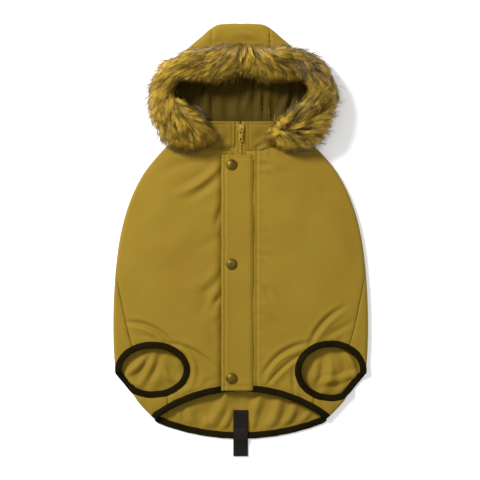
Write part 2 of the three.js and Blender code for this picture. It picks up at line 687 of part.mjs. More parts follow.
addPiece("zip_tape_left", zipTape(-1), zipTapeCloth);
addPiece("zip_tape_right", zipTape(1), zipTapeCloth);
addPiece("zip_chain", zipChain(), zipTeeth);
addPiece("zip_slider", sliderPiece(), zipMetal).position.set(0, pivotY, pivotZ);
const zipPull = addPiece("zip_pull", pullPiece(), zipMetal);
zipPull.position.set(0, pivotY, pivotZ);
zipPull.rotation.x = radians(pull.tilt);
["top", "middle", "bottom"].forEach((name, i) => {
  const place = snapCapPlace(snapCap.fromTop[i]);
  addPiece("snap_cap_" + name, snapCapGeometry(), agedBrass).position.set(...place);
});

export default parka;
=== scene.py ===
import bpy
import bmesh
import math
import numpy as np
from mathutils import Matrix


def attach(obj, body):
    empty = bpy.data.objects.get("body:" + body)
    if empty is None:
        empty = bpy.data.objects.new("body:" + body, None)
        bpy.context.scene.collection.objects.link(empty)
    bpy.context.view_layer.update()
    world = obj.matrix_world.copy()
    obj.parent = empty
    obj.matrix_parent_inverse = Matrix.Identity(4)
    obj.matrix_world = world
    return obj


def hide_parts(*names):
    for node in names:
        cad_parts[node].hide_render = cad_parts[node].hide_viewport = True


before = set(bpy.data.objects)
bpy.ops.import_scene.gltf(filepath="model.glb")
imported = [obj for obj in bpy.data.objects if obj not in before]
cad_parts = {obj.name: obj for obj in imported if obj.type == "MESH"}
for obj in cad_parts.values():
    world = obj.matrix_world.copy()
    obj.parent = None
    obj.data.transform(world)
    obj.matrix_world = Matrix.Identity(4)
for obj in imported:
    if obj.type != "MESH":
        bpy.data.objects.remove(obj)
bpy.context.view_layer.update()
mm = 0.001  # sizes below are in millimetres, and become metres where a mesh is made


def placed(name, data):
    thing = bpy.data.objects.new(name, data)
    bpy.context.scene.collection.objects.link(thing)
    return thing


# the camera looks straight down on the middle of the coat through a long lens
view = {"height": 4000, "width": 638.5, "x": -0.9, "y": 0.3, "sensor": 36, "coatLevel": 12, "farthest": 40}
camera = placed("camera", bpy.data.cameras.new("camera"))
camera.location = (view["x"] * mm, view["y"] * mm, view["height"] * mm)
camera.data.sensor_width = view["sensor"]
camera.data.lens = view["sensor"] * (view["height"] - view["coatLevel"]) / view["width"]
camera.data.clip_end = view["farthest"]
bpy.context.scene.camera = camera

lighting = {  # places and sizes in metres
    "worldStrength": 0.52, "keyPlace": (-1.25, 1.15, 1.55), "keySize": 0.6, "keyPower": 62,
}


def fill(node, values):
    for name, value in values.items():
        node.inputs[name].default_value = value
    return node


def lightTheTable():
    world = bpy.data.worlds.new("studio")
    bpy.context.scene.world = world
    world.use_nodes = True
    fill(world.node_tree.nodes["Background"], {"Color": (1, 1, 1, 1), "Strength": lighting["worldStrength"]})
    lamp = bpy.data.lights.new("key", "AREA")
    lamp.shape = "DISK"
    lamp.size = lighting["keySize"]
    lamp.energy = lighting["keyPower"]
    key = placed("key", lamp)
    key.location = lighting["keyPlace"]
    key.rotation_euler = (-key.location).to_track_quat("-Z", "Y").to_euler()
    bpy.context.scene.view_settings.view_transform = "Standard"


lightTheTable()


# easy curves, waves and creases


def smooth(low, high, x):
    t = np.clip((np.asarray(x, float) - low) / (high - low), 0, 1)
    return t * t * (3 - 2 * t)


def bump(x, middle, width):
    return np.exp(-(((x - middle) / width) ** 2))


def swells(distance, *shapes):
    # ridges in cloth, or dips where the height is negative: height, place and width of each
    return sum(height * bump(distance, place, width) for height, place, width in shapes)


def rolled(distance, depth, width):
    # how far cloth falls away as it rolls over its edge
    return depth * np.exp(-distance / width)


def curveThrough(keys, values):
    # an easy curve through one column of a short table
    order = np.argsort(keys)
    k = np.array(keys, float)[order]
    v = np.array(values, float)[order]
    before = np.maximum(np.arange(len(k)) - 1, 0)
    after = np.minimum(np.arange(len(k)) + 1, len(k) - 1)
    slope = (v[after] - v[before]) / (k[after] - k[before])

    def at(x):
        x = np.clip(np.asarray(x, float), k[0], k[-1])
        i = np.clip(np.searchsorted(k, x, side="right") - 1, 0, len(k) - 2)
        span = k[i + 1] - k[i]
        t = (x - k[i]) / span
        ends = v[i] * (1 + 2 * t) * (1 - t) ** 2 + v[i + 1] * t * t * (3 - 2 * t)
        return ends + span * (slope[i] * t * (1 - t) ** 2 - slope[i + 1] * t * t * (1 - t))

    return at


def ripple(x, seed):
    # an uneven wave from -1 to 1
    random = np.random.default_rng(seed)
    total = 0
    for period, share in ((1, 0.5), (0.618, 0.3), (0.37, 0.2)):
        total = total + share * np.sin(x * 2 * math.pi / period + random.uniform(0, 6.28))
    return total


def puckers(x, seed, distance, height, place, width):
    # uneven gathers in cloth, beside a seam and some way off it
    return height * ripple(x, seed) * bump(distance, place, width)


def undulation(x, y, seed, size):
    # soft irregular hills over the cloth
    random = np.random.default_rng(seed)
    total = 0
    for i in range(7):
        turn = random.uniform(0, math.pi)
        period = size * random.uniform(0.55, 1.7)
        phase = random.uniform(0, 6.28)
        bend = 0.6 * np.sin((x * math.sin(turn) - y * math.cos(turn)) / period * 2.1 + phase)
        total = total + np.sin((x * math.cos(turn) + y * math.sin(turn)) / period * 6.28 + phase + bend)
    return total / 4


def creaseLift(x, y, creases):
    # each crease is a soft ridge, or a trough where rise is negative, on a bowed line that fades at its ends
    lift = 0
    for x1, y1, x2, y2, bow, width, rise in creases:
        length = math.hypot(x2 - x1, y2 - y1)
        ux, uy = (x2 - x1) / length, (y2 - y1) / length
        along = ((x - x1) * ux + (y - y1) * uy) / length
        across = -(x - x1) * uy + (y - y1) * ux - bow * 4 * along * (1 - along)
        inside = np.clip(along, 0, 1)
        past = np.abs(along - inside) * length
        fade = np.sin(math.pi * (0.12 + 0.76 * inside)) * bump(past, 0, width * 1.6)
        s = np.abs(across / width)
        lift = lift + rise * fade * (np.exp(-s**1.6) - 0.24 * bump(s, 2, 0.9))
    return lift


# meshes from grids of points


def steps(start, stop, step):
    # even places from start to stop, about a step apart
    return np.linspace(start, stop, int((stop - start) / step))


def spots(x, y, z):
    # points from coordinates, each of them an array or one number for all
    return np.stack(np.broadcast_arrays(x, y, z), -1)


def pieceFrom(name, mesh, material, rides="parka", nodes=()):
    mesh.materials.append(material)
    piece = placed(name, mesh)
    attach(piece, rides)
    if nodes:
        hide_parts(*nodes)
    return piece


def meshFrom(name, points, faces, soft=True):
    mesh = bpy.data.meshes.new(name)
    mesh.from_pydata((np.asarray(points) * mm).tolist(), [], [list(f) for f in faces])
    mesh.validate()
    mesh.polygons.foreach_set("use_smooth", [soft] * len(mesh.polygons))
    return mesh


def giveValues(mesh, values):
    # a number of each name at each point
    for key, numbers in values.items():
        mesh.attributes.new(key, "FLOAT", "POINT").data.foreach_set("value", numbers.astype(np.float32))


def trianglesMesh(name, points, triangles):
    # the quick way in for very many triangles
    mesh = bpy.data.meshes.new(name)
    mesh.vertices.add(len(points))
    mesh.vertices.foreach_set("co", (points * mm).astype(np.float32).ravel())
    mesh.loops.add(triangles.size)
    mesh.loops.foreach_set("vertex_index", triangles.astype(np.int32).ravel())
    mesh.polygons.add(len(triangles))
    mesh.polygons.foreach_set("loop_start", np.arange(0, triangles.size, 3, dtype=np.int32))
    mesh.update(calc_edges=True)
    mesh.polygons.foreach_set("use_smooth", [True] * len(triangles))
    return mesh


def gridFaces(rows, columns, keep=None, roundRows=False, roundColumns=False, flip=False):
    i, j = np.meshgrid(np.arange(rows if roundRows else rows - 1),
                       np.arange(columns if roundColumns else columns - 1), indexing="ij")
    nextI, nextJ = (i + 1) % rows, (j + 1) % columns
    a, b, c, d = i * columns + j, i * columns + nextJ, nextI * columns + nextJ, nextI * columns + j
    faces = np.stack([a, d, c, b] if flip else [a, b, c, d], -1).reshape(-1, 4)
    return faces if keep is None else faces[keep.reshape(-1)[faces].all(1)]


def giveWall(piece, thickness):
    # the mesh is the outer face, and the wall goes to its inside
    wall = piece.modifiers.new("wall", "SOLIDIFY")
    wall.thickness = thickness * mm
    wall.offset = -1
    wall.use_rim = True
    return piece


def clothFromGrid(name, grid, material, thickness, keep=None, flip=False, nodes=()):
    faces = gridFaces(*grid.shape[:2], keep, flip=flip)
    used, faces = np.unique(faces, return_inverse=True)
    mesh = meshFrom(name, grid.reshape(-1, 3)[used], faces.reshape(-1, 4))
    return giveWall(pieceFrom(name, mesh, material, nodes=nodes), thickness)


def tubeParts(rings):
    # rings is stations x points round x 3, and the tube gets flat ends
    stations, around = rings.shape[:2]
    faces = [tuple(f) for f in gridFaces(stations, around, roundColumns=True)]
    faces.append(tuple(range(around))[::-1])
    faces.append(tuple(range((stations - 1) * around, stations * around)))
    return rings.reshape(-1, 3), faces


def joinParts(parts):
    points, faces, start = [], [], 0
    for somePoints, someFaces in parts:
        points.append(np.asarray(somePoints, float))
        faces += [tuple(int(k) + start for k in f) for f in someFaces]
        start += len(somePoints)
    return np.concatenate(points), faces


def takeOut(shape):
    # the points and faces of a shape that has been worked on, which is then put away
    shape.verts.index_update()
    points = np.array([corner.co for corner in shape.verts])
    faces = [tuple(corner.index for corner in face.verts) for face in shape.faces]
    shape.free()
    return points, faces


# materials


def newMaterial(name):
    material = bpy.data.materials.new(name)
    material.use_nodes = True
    return material, material.node_tree.nodes, material.node_tree.nodes["Principled BSDF"]


def newNode(nodes, kind, values=None):
    return fill(nodes.new("ShaderNode" + kind), values or {})


def link(start, output, end, entry):
    end.id_data.links.new(start.outputs[output], end.inputs[entry])


def colourRamp(nodes, stops):
    ramp = newNode(nodes, "ValToRGB")
    while len(ramp.color_ramp.elements) < len(stops):
        ramp.color_ramp.elements.new(0.5)
    for element, (position, colour) in zip(ramp.color_ramp.elements, stops):
        element.position = position
        element.color = (*colour, 1)
    return ramp


def clothMaterial(name, look):
    material, nodes, shader = newMaterial(name)
    place = newNode(nodes, "TexCoord")
    mottle = newNode(nodes, "TexNoise", {"Scale": look["mottleScale"], "Detail": 4})  # uneven dye
    tint = colourRamp(nodes, [(0.32, look["deep"]), (0.68, look["light"])])
    weave = newNode(nodes, "TexWave", {"Scale": look["ribScale"], "Distortion": 1.2, "Detail": 1})
    weave.bands_direction = look["ribs"]
    fuzz = newNode(nodes, "TexNoise", {"Scale": look["fuzzScale"], "Detail": 3})
    ribs = newNode(nodes, "Bump", {"Strength": look["ribStrength"], "Distance": 0.25 * mm})
    soft = newNode(nodes, "Bump", {"Strength": look["fuzzStrength"], "Distance": 0.6 * mm})
    for texture in (mottle, weave, fuzz):
        link(place, "Object", texture, "Vector")
    link(mottle, "Fac", tint, "Fac")
    link(tint, "Color", shader, "Base Color")
    link(weave, "Fac", ribs, "Height")
    link(fuzz, "Fac", soft, "Height")
    link(soft, "Normal", ribs, "Normal")
    link(ribs, "Normal", shader, "Normal")
    fill(shader, {"Roughness": look["roughness"], "Specular IOR Level": look["gloss"],
                  "Sheen Weight": look["sheen"], "Sheen Roughness": 0.4, "Sheen Tint": (*look["light"], 1)})
    return material


def metalMaterial(name, look):
    material, nodes, shader = newMaterial(name)
    wear = newNode(nodes, "TexNoise", {"Scale": look["wearScale"], "Detail": 5})
    tint = colourRamp(nodes, [(0.35, look["dark"]), (0.7, look["bright"])])
    rough = look["roughness"]
    dull = newNode(nodes, "MapRange", {"To Min": rough - 0.08, "To Max": rough + 0.12})
    link(newNode(nodes, "TexCoord"), "Object", wear, "Vector")
    link(wear, "Fac", tint, "Fac")
    link(wear, "Fac", dull, "Value")
    link(tint, "Color", shader, "Base Color")
    link(dull, "Result", shader, "Roughness")
    fill(shader, {"Metallic": look["metal"], "Specular IOR Level": 0.3})
    return material


def furMaterial(name, look):
    # along is 0 at a hair's root and 1 at its tip, the dark root end standing partly for painted shade under
    # the tufts; tone is 0 in a dark tuft and 1 in a bright one, and also carries painted light and shade
    material, nodes, shader = newMaterial(name)
    along, tone, blend = newNode(nodes, "Attribute"), newNode(nodes, "Attribute"), newNode(nodes, "Mix")
    along.attribute_name, tone.attribute_name, blend.data_type = "along", "tone", "RGBA"
    link(tone, "Fac", blend, "Factor")
    for colours, entry in ((look["darkHair"], 6), (look["brightHair"], 7)):  # the mixer's two colours
        ramp = colourRamp(nodes, colours)
        link(along, "Fac", ramp, "Fac")
        link(ramp, "Color", blend, entry)
    link(blend, 2, shader, "Base Color")
    fill(shader, {"Roughness": look["roughness"], "Specular IOR Level": look["gloss"]})
    return material


gold = {
    "ribs": "DIAGONAL", "ribScale": 700, "ribStrength": 0.22, "fuzzScale": 420, "fuzzStrength": 0.18,
    "mottleScale": 16, "roughness": 0.6, "gloss": 0.1, "sheen": 0.03,
}


def twill(name, deep, light, **changes):
    return clothMaterial(name, {**gold, "deep": deep, "light": light, **changes})


shellCloth = twill("mustard twill", (0.251, 0.155, 0.0143), (0.266, 0.173, 0.016))
# the collar's twill is a darker copy of the shell's, painted shade for the fur's shadow and the collar's
# slope
collarClothPaintedShade = twill("mustard twill, collar darkened as painted shade", (0.198, 0.123, 0.0105), (0.214, 0.138, 0.012))
# the hood's inner face: the same twill painted far darker, as painted shade inside the deep hood
hoodLiningPaintedShade = twill("mustard twill, inner face darkened as painted shade", (0.058, 0.0365, 0.0042), (0.073, 0.0475, 0.0054),
                   mottleScale=26, gloss=0.05)
tapeCloth = twill("zip tape", (0.22, 0.136, 0.011), (0.25, 0.16, 0.013), ribs="X", ribScale=420)
bindingCloth = twill("black-brown binding", (0.0076, 0.0052, 0.001), (0.013, 0.0092, 0.0018),
                     mottleScale=40, ribStrength=0.35, roughness=0.85, gloss=0.03, sheen=0.005)
webbing = twill("black-brown webbing", (0.0072, 0.0055, 0.0041), (0.0125, 0.01, 0.0078),
                mottleScale=60, ribs="Y", ribScale=210, ribStrength=0.8, roughness=0.8, gloss=0.15)
goldThread = twill("gold thread", (0.13, 0.078, 0.009), (0.22, 0.135, 0.018), mottleScale=90, sheen=0.2)
blackThread = twill("black thread", (0.012, 0.009, 0.006), (0.022, 0.017, 0.012), mottleScale=90, sheen=0.05)
teethPlastic = metalMaterial("gold zip teeth", {
    "dark": (0.27, 0.165, 0.014), "bright": (0.38, 0.245, 0.025),
    "roughness": 0.46, "metal": 0.1, "wearScale": 300,
})
sliderLacquer = metalMaterial("gold lacquered slider", {
    "dark": (0.42, 0.27, 0.03), "bright": (0.8, 0.56, 0.09),
    "roughness": 0.28, "metal": 0.75, "wearScale": 200,
})
agedBrass = metalMaterial("aged brass", {
    "dark": (0.1, 0.06, 0.008), "bright": (0.2, 0.13, 0.016),
    "roughness": 0.42, "metal": 0.8, "wearScale": 160,
})
furGold = furMaterial("gold fur", {
    "roughness": 0.5, "gloss": 0.2,
    "brightHair": [(0, (0.04, 0.022, 0.006)), (0.3, (0.3, 0.189, 0.023)), (0.72, (0.72, 0.476, 0.053)),
                   (1, (0.84, 0.612, 0.1))],
    "darkHair": [(0, (0.01, 0.006, 0.003)), (0.4, (0.06, 0.036, 0.008)), (0.8, (0.22, 0.135, 0.02)),
                 (1, (0.38, 0.24, 0.036))],
})
furPale = furMaterial("pale guard hair", {
    "roughness": 0.45, "gloss": 0.3,
    "brightHair": [(0, (0.2, 0.125, 0.02)), (0.6, (0.4, 0.27, 0.06)), (1, (0.82, 0.76, 0.84))],
    "darkHair": [(0, (0.06, 0.038, 0.01)), (0.6, (0.17, 0.11, 0.03)), (1, (0.42, 0.38, 0.43))],
})
print("camera, light and materials ready")

# the flat body: y of a section, half its width, height of its middle, side fold to side seam over the front
bodySections = [
    (156, 52, 13.4, 0), (142, 77, 13.4, 0), (129, 94.4, 13.3, 0), (108, 114.5, 13.2, 0),
    (86, 131, 13.4, 0), (54, 146.7, 13.6, 0), (14, 158.7, 13.8, 0), (-34, 166, 13.8, 2),
    (-90, 169.5, 13.6, 15), (-136, 169.5, 13.2, 26), (-168, 167.5, 12.8, 36), (-182, 165, 12.6, 42),
    (-192, 156, 12.4, 45), (-204, 144.5, 12.2, 47), (-217, 135.5, 12, 41), (-234, 119, 11.8, 24),
    (-280, 70, 11.6, 10),
]
body = {
    "foldRadius": 4.6, "wall": 1.7, "step": 2.3, "frontStep": 1.9, "zipEdge": 7, "seamGap": 0.12,
    "lowY": -268, "bendFrom": 70, "frontColumns": 165, "backColumns": 205,
    "hills": 0.45, "hillSize": 62, "sideFade": 22, "flapDip": 2.1, "flapTuck": 1.3,
}
foldRadius = body["foldRadius"]
quarterFold = math.pi / 2 * foldRadius
sectionY, sectionWidth, sectionHeight, sectionSeam = zip(*bodySections)
halfWidthAt = curveThrough(sectionY, sectionWidth)
heightAt = curveThrough(sectionY, sectionHeight)
seamArcAt = curveThrough(sectionY, sectionSeam)

neck = {"frontY": 118.5, "sideY": 137.5, "backY": 150, "halfWidth": 84}
frontHem = {"middleY": -196.8, "radius": 195}
backHem = {"middleY": -260.4, "radius": 298}
armholes = {
    "left": {"side": -1, "x": 117.3, "y": -172.4, "halfLength": 45.7, "halfWidth": 33.1},
    "right": {"side": 1, "x": 119.9, "y": -173.8, "halfLength": 43.5, "halfWidth": 36.1},
}
# where the armholes run straight and low, in degrees, and the line that they run along there
armholeLow = {
    "from": 318, "rampIn": 14, "to": 338, "rampOut": 26, "outX": 0.756, "outY": -0.654, "reach": 238.5,
}
flap = {
    "left": -25.7, "right": 18.1, "top": 113.7, "bottom": -200.5, "lift": 3.2, "step": 1.6,
    "rowStep": 2.2, "wall": 2, "sideStitch": 4.9, "topStitch": 4.2, "hemStitch": 7, "rightStitch": 3.6,
    "snapY": [100.3, -31.7, -183.7], "snapX": -12, "snapDip": 0.55, "rightFall": 2.9,
    "hills": 0.3, "hillSize": 46,
}


def arcDrop(x, radius):
    return radius - np.sqrt(radius**2 - np.minimum(np.abs(x), radius - 1) ** 2)


def frontHemY(x):
    return frontHem["middleY"] - arcDrop(x, frontHem["radius"])


def backHemY(x):
    return backHem["middleY"] + arcDrop(x, backHem["radius"])


def neckY(x, middle):
    return middle + (neck["sideY"] - middle) * np.minimum((x / neck["halfWidth"]) ** 2, 2)


def frontNeckY(x):
    return neckY(x, neck["frontY"])


def backNeckY(x):
    return neckY(x, neck["backY"])


def insideArmhole(hole, x, y):
    # about how many millimetres inside the loop's line, and negative outside
    u = (hole["side"] * x - hole["x"]) / hole["halfLength"]
    v = (y - hole["y"]) / hole["halfWidth"]
    return (1 - np.hypot(u, v)) * hole["halfWidth"]


def beyondChord(x, y):
    # how far a point lies outside the straight low stretch of an armhole
    return armholeLow["outX"] * np.abs(x) + armholeLow["outY"] * y - armholeLow["reach"]


# creases of the front: from x and y, to x and y, bow, width, rise
frontCreases = [
    # left, from the flap up to the neck
    (-27, 99, -80, 62, 4, 5.5, 3.2), (-30, 88, -66, 60, 3, 5, -2.2), (-38, 107, -104, 93, -3, 6, -1.5),
    (-27, 42, -33, 20, 0, 3.6, -2.0), (-28, 52, -46, 34, 2, 6, 0.7), (-27, 8, -52, -8, 2, 6, -0.9),
    (-27, -44, -50, -70, 3, 4.5, -1.8), (-28, -36, -60, -60, 3, 6, 0.9), (-27, -73, -36, -87, 0, 3.6, -3.0),
    (-46, -60, -52, -94, 3, 7, -1.4), (-27, -96, -40, -104, 0, 4, 1.0), (-40, -124, -32, -146, 0, 6, -1.2),
    (-60, 20, -120, -10, 8, 18, 1.2), (-70, -30, -130, -60, -6, 16, -1.0), (-95, 60, -135, 20, 6, 16, 1.0),
    # left, round the armhole
    (-149, -109, -92, -137, 7, 3, -3.8), (-142, -117, -102, -134, 6, 4.5, 1.4),
    (-152, -116, -146, -138, 0, 4, -1.2), (-130, -127, -114, -131, 0, 2.5, -1.2),
    (-92, -137, -37, -167, 5, 2.6, -3.2), (-74, -146, -65, -194, 8, 3, 2.2),
    (-60, -176, -62, -198, 0, 6, -1.3), (-52, -196, -36, -184, 1, 3.5, -1.0),
    (-84, -206, -60, -196, 2, 4, 1.2),
    # right, from the stitching up to the neck
    (25, 103, 38, 99, 0, 3, -1.8), (26, 94, 40, 88, 1, 3.5, 1.2), (45, 92, 72, 86, 2, 7, -1.3),
    (46, 100, 96, 82, 4, 8, 0.7), (104, 70, 118, 62, 0, 7, -0.9), (25, -18, 36, -24, 0, 3.2, -1.3),
    (26, -10, 44, -16, 1, 4, 0.8), (28, -60, 39, -74, 1, 3.2, -1.6), (26, -52, 44, -64, 2, 5, 0.9),
    (30, -99, 54, -116, 1, 4.5, -1.5), (24, -104, 36, -106, 0, 2.4, 0.8),
    (40, 40, 90, 20, -6, 18, 1.0), (60, -10, 120, -40, 6, 18, -1.0), (110, 40, 140, -10, 5, 15, 1.0),
    # right, round the armhole
    (135, -90, 92, -138, -5.5, 3.2, -3.4), (130, -102, 103, -132, -3, 4.5, 1.5),
    (149, -109, 113, -129, 0, 3.6, -1.7), (92, -136, 32, -175, -8, 3.3, -3.2),
    (79, -146, 37, -179, -6, 3.4, 1.6), (77, -154, 36, -191, -2, 2.3, -2.9),
    (72, -163, 45, -191, -2, 4, 1.5), (69, -172, 71, -203, 0, 2.6, -2.0),
    (80, -204, 62, -196, 0, 4, 1.0),
]

# creases of the back, which show through the armholes and the hem
backCreases = [
    (-122, -150, -154, -180, 2, 4, 5.0), (-114, -148, -134, -192, 2, 4.4, 6.4),
    (-105, -164, -118, -196, 2, 7, 2.6), (-102, -174, -90, -187, -2, 2.7, 2.8),
    (-92, -152, -80, -172, 2, 5, 2.4), (-150, -184, -136, -197, 0, 4, 3.4),
    (119, -152, 111, -200, 5, 6.5, 5.0), (139, -150, 153, -178, 2, 3.3, 5.2),
    (108, -190, 136, -187, 2, 3.6, 4.8), (134, -183, 154, -178, 0, 3.6, 4.6),
    (104, -158, 98, -190, 0, 4, 2.4), (128, -160, 134, -178, 0, 4, 2.2),
    (-20, -206, -44, -248, 3, 6, 4.4), (-13, -226, -27, -254, 2, 3.2, 3.4),
    (-72, -220, -60, -250, -2, 6, 3.0), (-84, -226, -80, -244, 0, 3, 2.6),
    (-48, -230, -46, -252, 0, 3, 1.8), (28, -204, 18, -240, -2, 5, 4.0), (52, -208, 38, -250, 3, 6, 4.4),
    (72, -220, 56, -248, 2, 4, 4.0), (92, -228, 74, -247, 2, 3.4, 3.2), (17, -238, 16, -254, 0, 3, 2.4),
    (-14, -206, 12, -216, 2, 6, 1.6), (-60, -150, -20, -190, 3, 9, 2.7), (60, -150, 20, -190, 3, 9, 2.7),
]


def seamDip(distance, depth=0.7, width=2.6):
    # cloth turns down into a seam
    return -depth * bump(np.maximum(distance, 0), 0, width)


def frontTop(x, y):
    across = np.minimum(np.abs(x) / (halfWidthAt(y) - foldRadius), 1)
    return 2 * foldRadius + (heightAt(y) - 2 * foldRadius) * (1 - across**4)


def frontFace(x, y):
    # the front's outer face, with its creases and the pull of its stitching
    fromSide = smooth(0, body["sideFade"], halfWidthAt(y) - foldRadius - np.abs(x))
    hills = body["hills"] * undulation(x, y, 4, body["hillSize"])
    z = frontTop(x, y) + (creaseLift(x, y, frontCreases) + hills) * fromSide
    fromLeft, fromRight = flap["left"] - x, x - flap["right"]
    z = z - body["flapDip"] * (1 - smooth(-1, 9, fromLeft)) * (x < 0) * (1 + 0.3 * ripple(y / 47, 3))
    z = z - body["flapTuck"] * (1 - smooth(-0.5, 3.2, fromLeft)) * (x < 0)
    z = z + swells(fromRight, (0.4, 0.8, 1.4), (-1.5, flap["rightStitch"], 1.2), (0.4, 6.2, 1.7))
    z = z + puckers(y / 21, 8, fromRight, 0.35, 11, 6) * (x > 0)
    for hole in armholes.values():
        near = -insideArmhole(hole, x, y)
        turn = np.arctan2(y - hole["y"], x - hole["side"] * hole["x"])
        z = z + puckers(turn * 1.9, 11 + hole["side"], near, 0.5, 8, 5) - 0.8 * bump(near, 4.2, 2)
    fromHem = (y - frontHemY(x)) * 0.9
    z = z + puckers(x / 26, 5, fromHem, 0.5, 9, 6) - 0.7 * bump(fromHem, 4.4, 2)
    fromNeck = frontNeckY(x) - y
    return z + seamDip(fromNeck, 0.7, 3) + puckers(x / 19, 6, fromNeck, 0.5, 6, 5)


def bodyPoint(side, y, arc):
    # arc runs over the cloth from the side fold's outermost line, positive over the front
    foldX = halfWidthAt(y) - foldRadius
    turn = np.clip(arc, -quarterFold, quarterFold) / foldRadius
    flat = np.maximum(np.abs(arc) - quarterFold, 0)
    x = side * (foldX + foldRadius * np.cos(turn) - flat)
    low = creaseLift(x, y, backCreases) + 0.9 * (1 + undulation(x, y, 14, 24)) * (1 - smooth(-150, -130, y))
    low = low * smooth(0, 12, flat) * smooth(4, 14, y - backHemY(x))
    z = foldRadius + foldRadius * np.sin(turn)
    z = np.where(arc > quarterFold, frontFace(x, y), np.where(arc < -quarterFold, np.maximum(low, 0), z))
    return spots(x, y, z)


def keepBody(grid, arc):
    # the cloth ends inside its bindings
    x, y = grid[..., 0], grid[..., 1]
    keep = y >= np.where(arc > 0, frontHemY(x), backHemY(x))
    for hole in armholes.values():
        keep &= ~((insideArmhole(hole, x, y) > 0.5) & (arc > -0.3) & (np.sign(x) == hole["side"]))
    return keep & ~((beyondChord(x, y) > 1) & (y < -174) & (y > -200))


def toNeck(rowY, x, edgeY):
    # rows near the top bend to the neck's seam
    start = body["bendFrom"]
    share = (rowY - start) / (neck["sideY"] - start)
    return np.where(rowY > start, start + (edgeY(x) - start) * share, rowY)


def bodyPanel(name, node, side, rowY, arcAt, edgeY, over, flip):
    y = rowY
    for _ in range(3):  # a row's width and its bend toward the neck depend on each other
        wide = halfWidthAt(y) - foldRadius + quarterFold
        arc = arcAt(y, wide)
        y = toNeck(rowY, side * np.where(arc > 0, wide - arc, wide + arc), edgeY)
    grid = bodyPoint(side, y, arc)
    grid[..., 2] += seamDip(over * (arc - seamArcAt(y))) * smooth(-20, -40, y)
    return clothFromGrid(name, grid, shellCloth, body["wall"], keepBody(grid, arc), flip, nodes=[node])


def frontPanel(side, name):
    share = np.linspace(0, 1, int(body["frontColumns"] / body["frontStep"]))[None, :]

    def arcAt(y, wide):
        return (wide - body["zipEdge"]) * (1 - share) + (seamArcAt(y) + body["seamGap"]) * share

    rowY = steps(body["lowY"], neck["sideY"], body["frontStep"])[:, None] + 0 * share
    return bodyPanel(name + "_panel", name, side, rowY, arcAt, frontNeckY, 1, side < 0)


def backPanel():
    share = np.linspace(-1, 1, 2 * int(body["backColumns"] / body["step"]) + 1)[None, :]

    def arcAt(y, wide):
        return np.abs(share) * (wide + seamArcAt(y) - body["seamGap"]) - wide

    rowY = steps(body["lowY"], neck["sideY"], body["step"])[:, None] + 0 * share
    return bodyPanel("back_panel", "back", np.sign(share), rowY, arcAt, backNeckY, -1, True)


back = backPanel()
frontLeft = frontPanel(-1, "front_left")
frontRight = frontPanel(1, "front_right")
print("back and fronts cut, creased and joined at the side seams")

# stitches: small spindles of thread laid along a line


def alongLine(line, spacing):
    # points at even steps along a line of points
    run = np.concatenate([[0], np.cumsum(np.linalg.norm(np.diff(line, axis=0), axis=1))])
    at = np.arange(spacing / 2, run[-1], spacing)
    return np.stack([np.interp(at, run, line[:, k]) for k in range(3)], -1)


def stitchParts(line, spacing=3.1, length=2.3, thick=0.62, sink=0.1):
    # each stitch is a five-sided spindle that dips into the cloth at both ends
    middles = alongLine(line, spacing)
    ahead = np.gradient(middles, axis=0)
    ahead /= np.linalg.norm(ahead, axis=1)[:, None]
    sideways = spots(-ahead[:, 1], ahead[:, 0], 0)
    sideways /= np.maximum(np.linalg.norm(sideways, axis=1), 1e-6)[:, None]
    up = np.cross(ahead, sideways)
    shape = [(-0.5, 0.35, -0.5), (-0.28, 1, 0), (0.28, 1, 0), (0.5, 0.35, -0.5)]  # along, thickness, drop
    parts = []
    for middle, a, s, u in zip(middles, ahead, sideways, up):
        rings = np.array([
            [middle + a * length * t - u * thick * (sink - 0.5 * drop) +
             thick * fat / 2 * (s * math.cos(turn) + u * math.sin(turn) * 0.8)
             for turn in np.arange(5) * 2 * math.pi / 5]
            for t, fat, drop in shape
        ])
        parts.append(tubeParts(rings))
    return parts


def stitching(name, lines, thread, slot="shell_cloth", **how):
    parts = [part for line in lines for part in stitchParts(line, **how)]
    pieceFrom(name, meshFrom(name, *joinParts(parts)), thread)


# the flap over the zip, sewn down along its right edge


def flapTop(x, y):
    fromLeft, fromRight = x - flap["left"], flap["right"] - x
    fromTop, fromBottom = flap["top"] - y, y - flap["bottom"]
    z = frontTop(0, y) + flap["lift"]
    z = z - rolled(fromLeft, 0.9, 0.7) - rolled(fromTop, 0.9, 0.7) - rolled(fromBottom, 0.7, 0.7)
    z = z + swells(fromRight, (-flap["rightFall"], 0, 3.1), (-0.4, 0, 5))
    for away, depth in ((fromLeft - flap["sideStitch"], 1.5), (fromTop - flap["topStitch"], 1.6),
                        (fromBottom - flap["hemStitch"], 0.7)):
        z = z + swells(away, (-depth, 0, 1.1), (0.35 * depth, 3, 1.6))
    z = z + puckers(y / 15, 21, fromLeft, 0.22, 3, 3.2) + puckers(y / 23, 22, fromRight, 0.16, 3, 4)
    z = z + flap["hills"] * undulation(x, y, 23, flap["hillSize"])
    for snapY in flap["snapY"]:
        z = z - flap["snapDip"] * bump(np.hypot(x - flap["snapX"], y - snapY), 0, 9.5)
    return z


def onFlap(x, y):
    # the free edge runs a little unevenly
    sway = 0.45 * ripple(y / 58, 24) * (1 - smooth(flap["left"], flap["right"], x))
    return spots(x + sway, y, flapTop(x, y))


def flapPiece():
    x = steps(flap["left"], flap["right"], flap["step"])[None, :]
    y = steps(flap["bottom"], flap["top"], flap["rowStep"])[:, None]
    piece = clothFromGrid("front_flap_panel", onFlap(x, y), shellCloth, flap["wall"], nodes=["front_flap"])


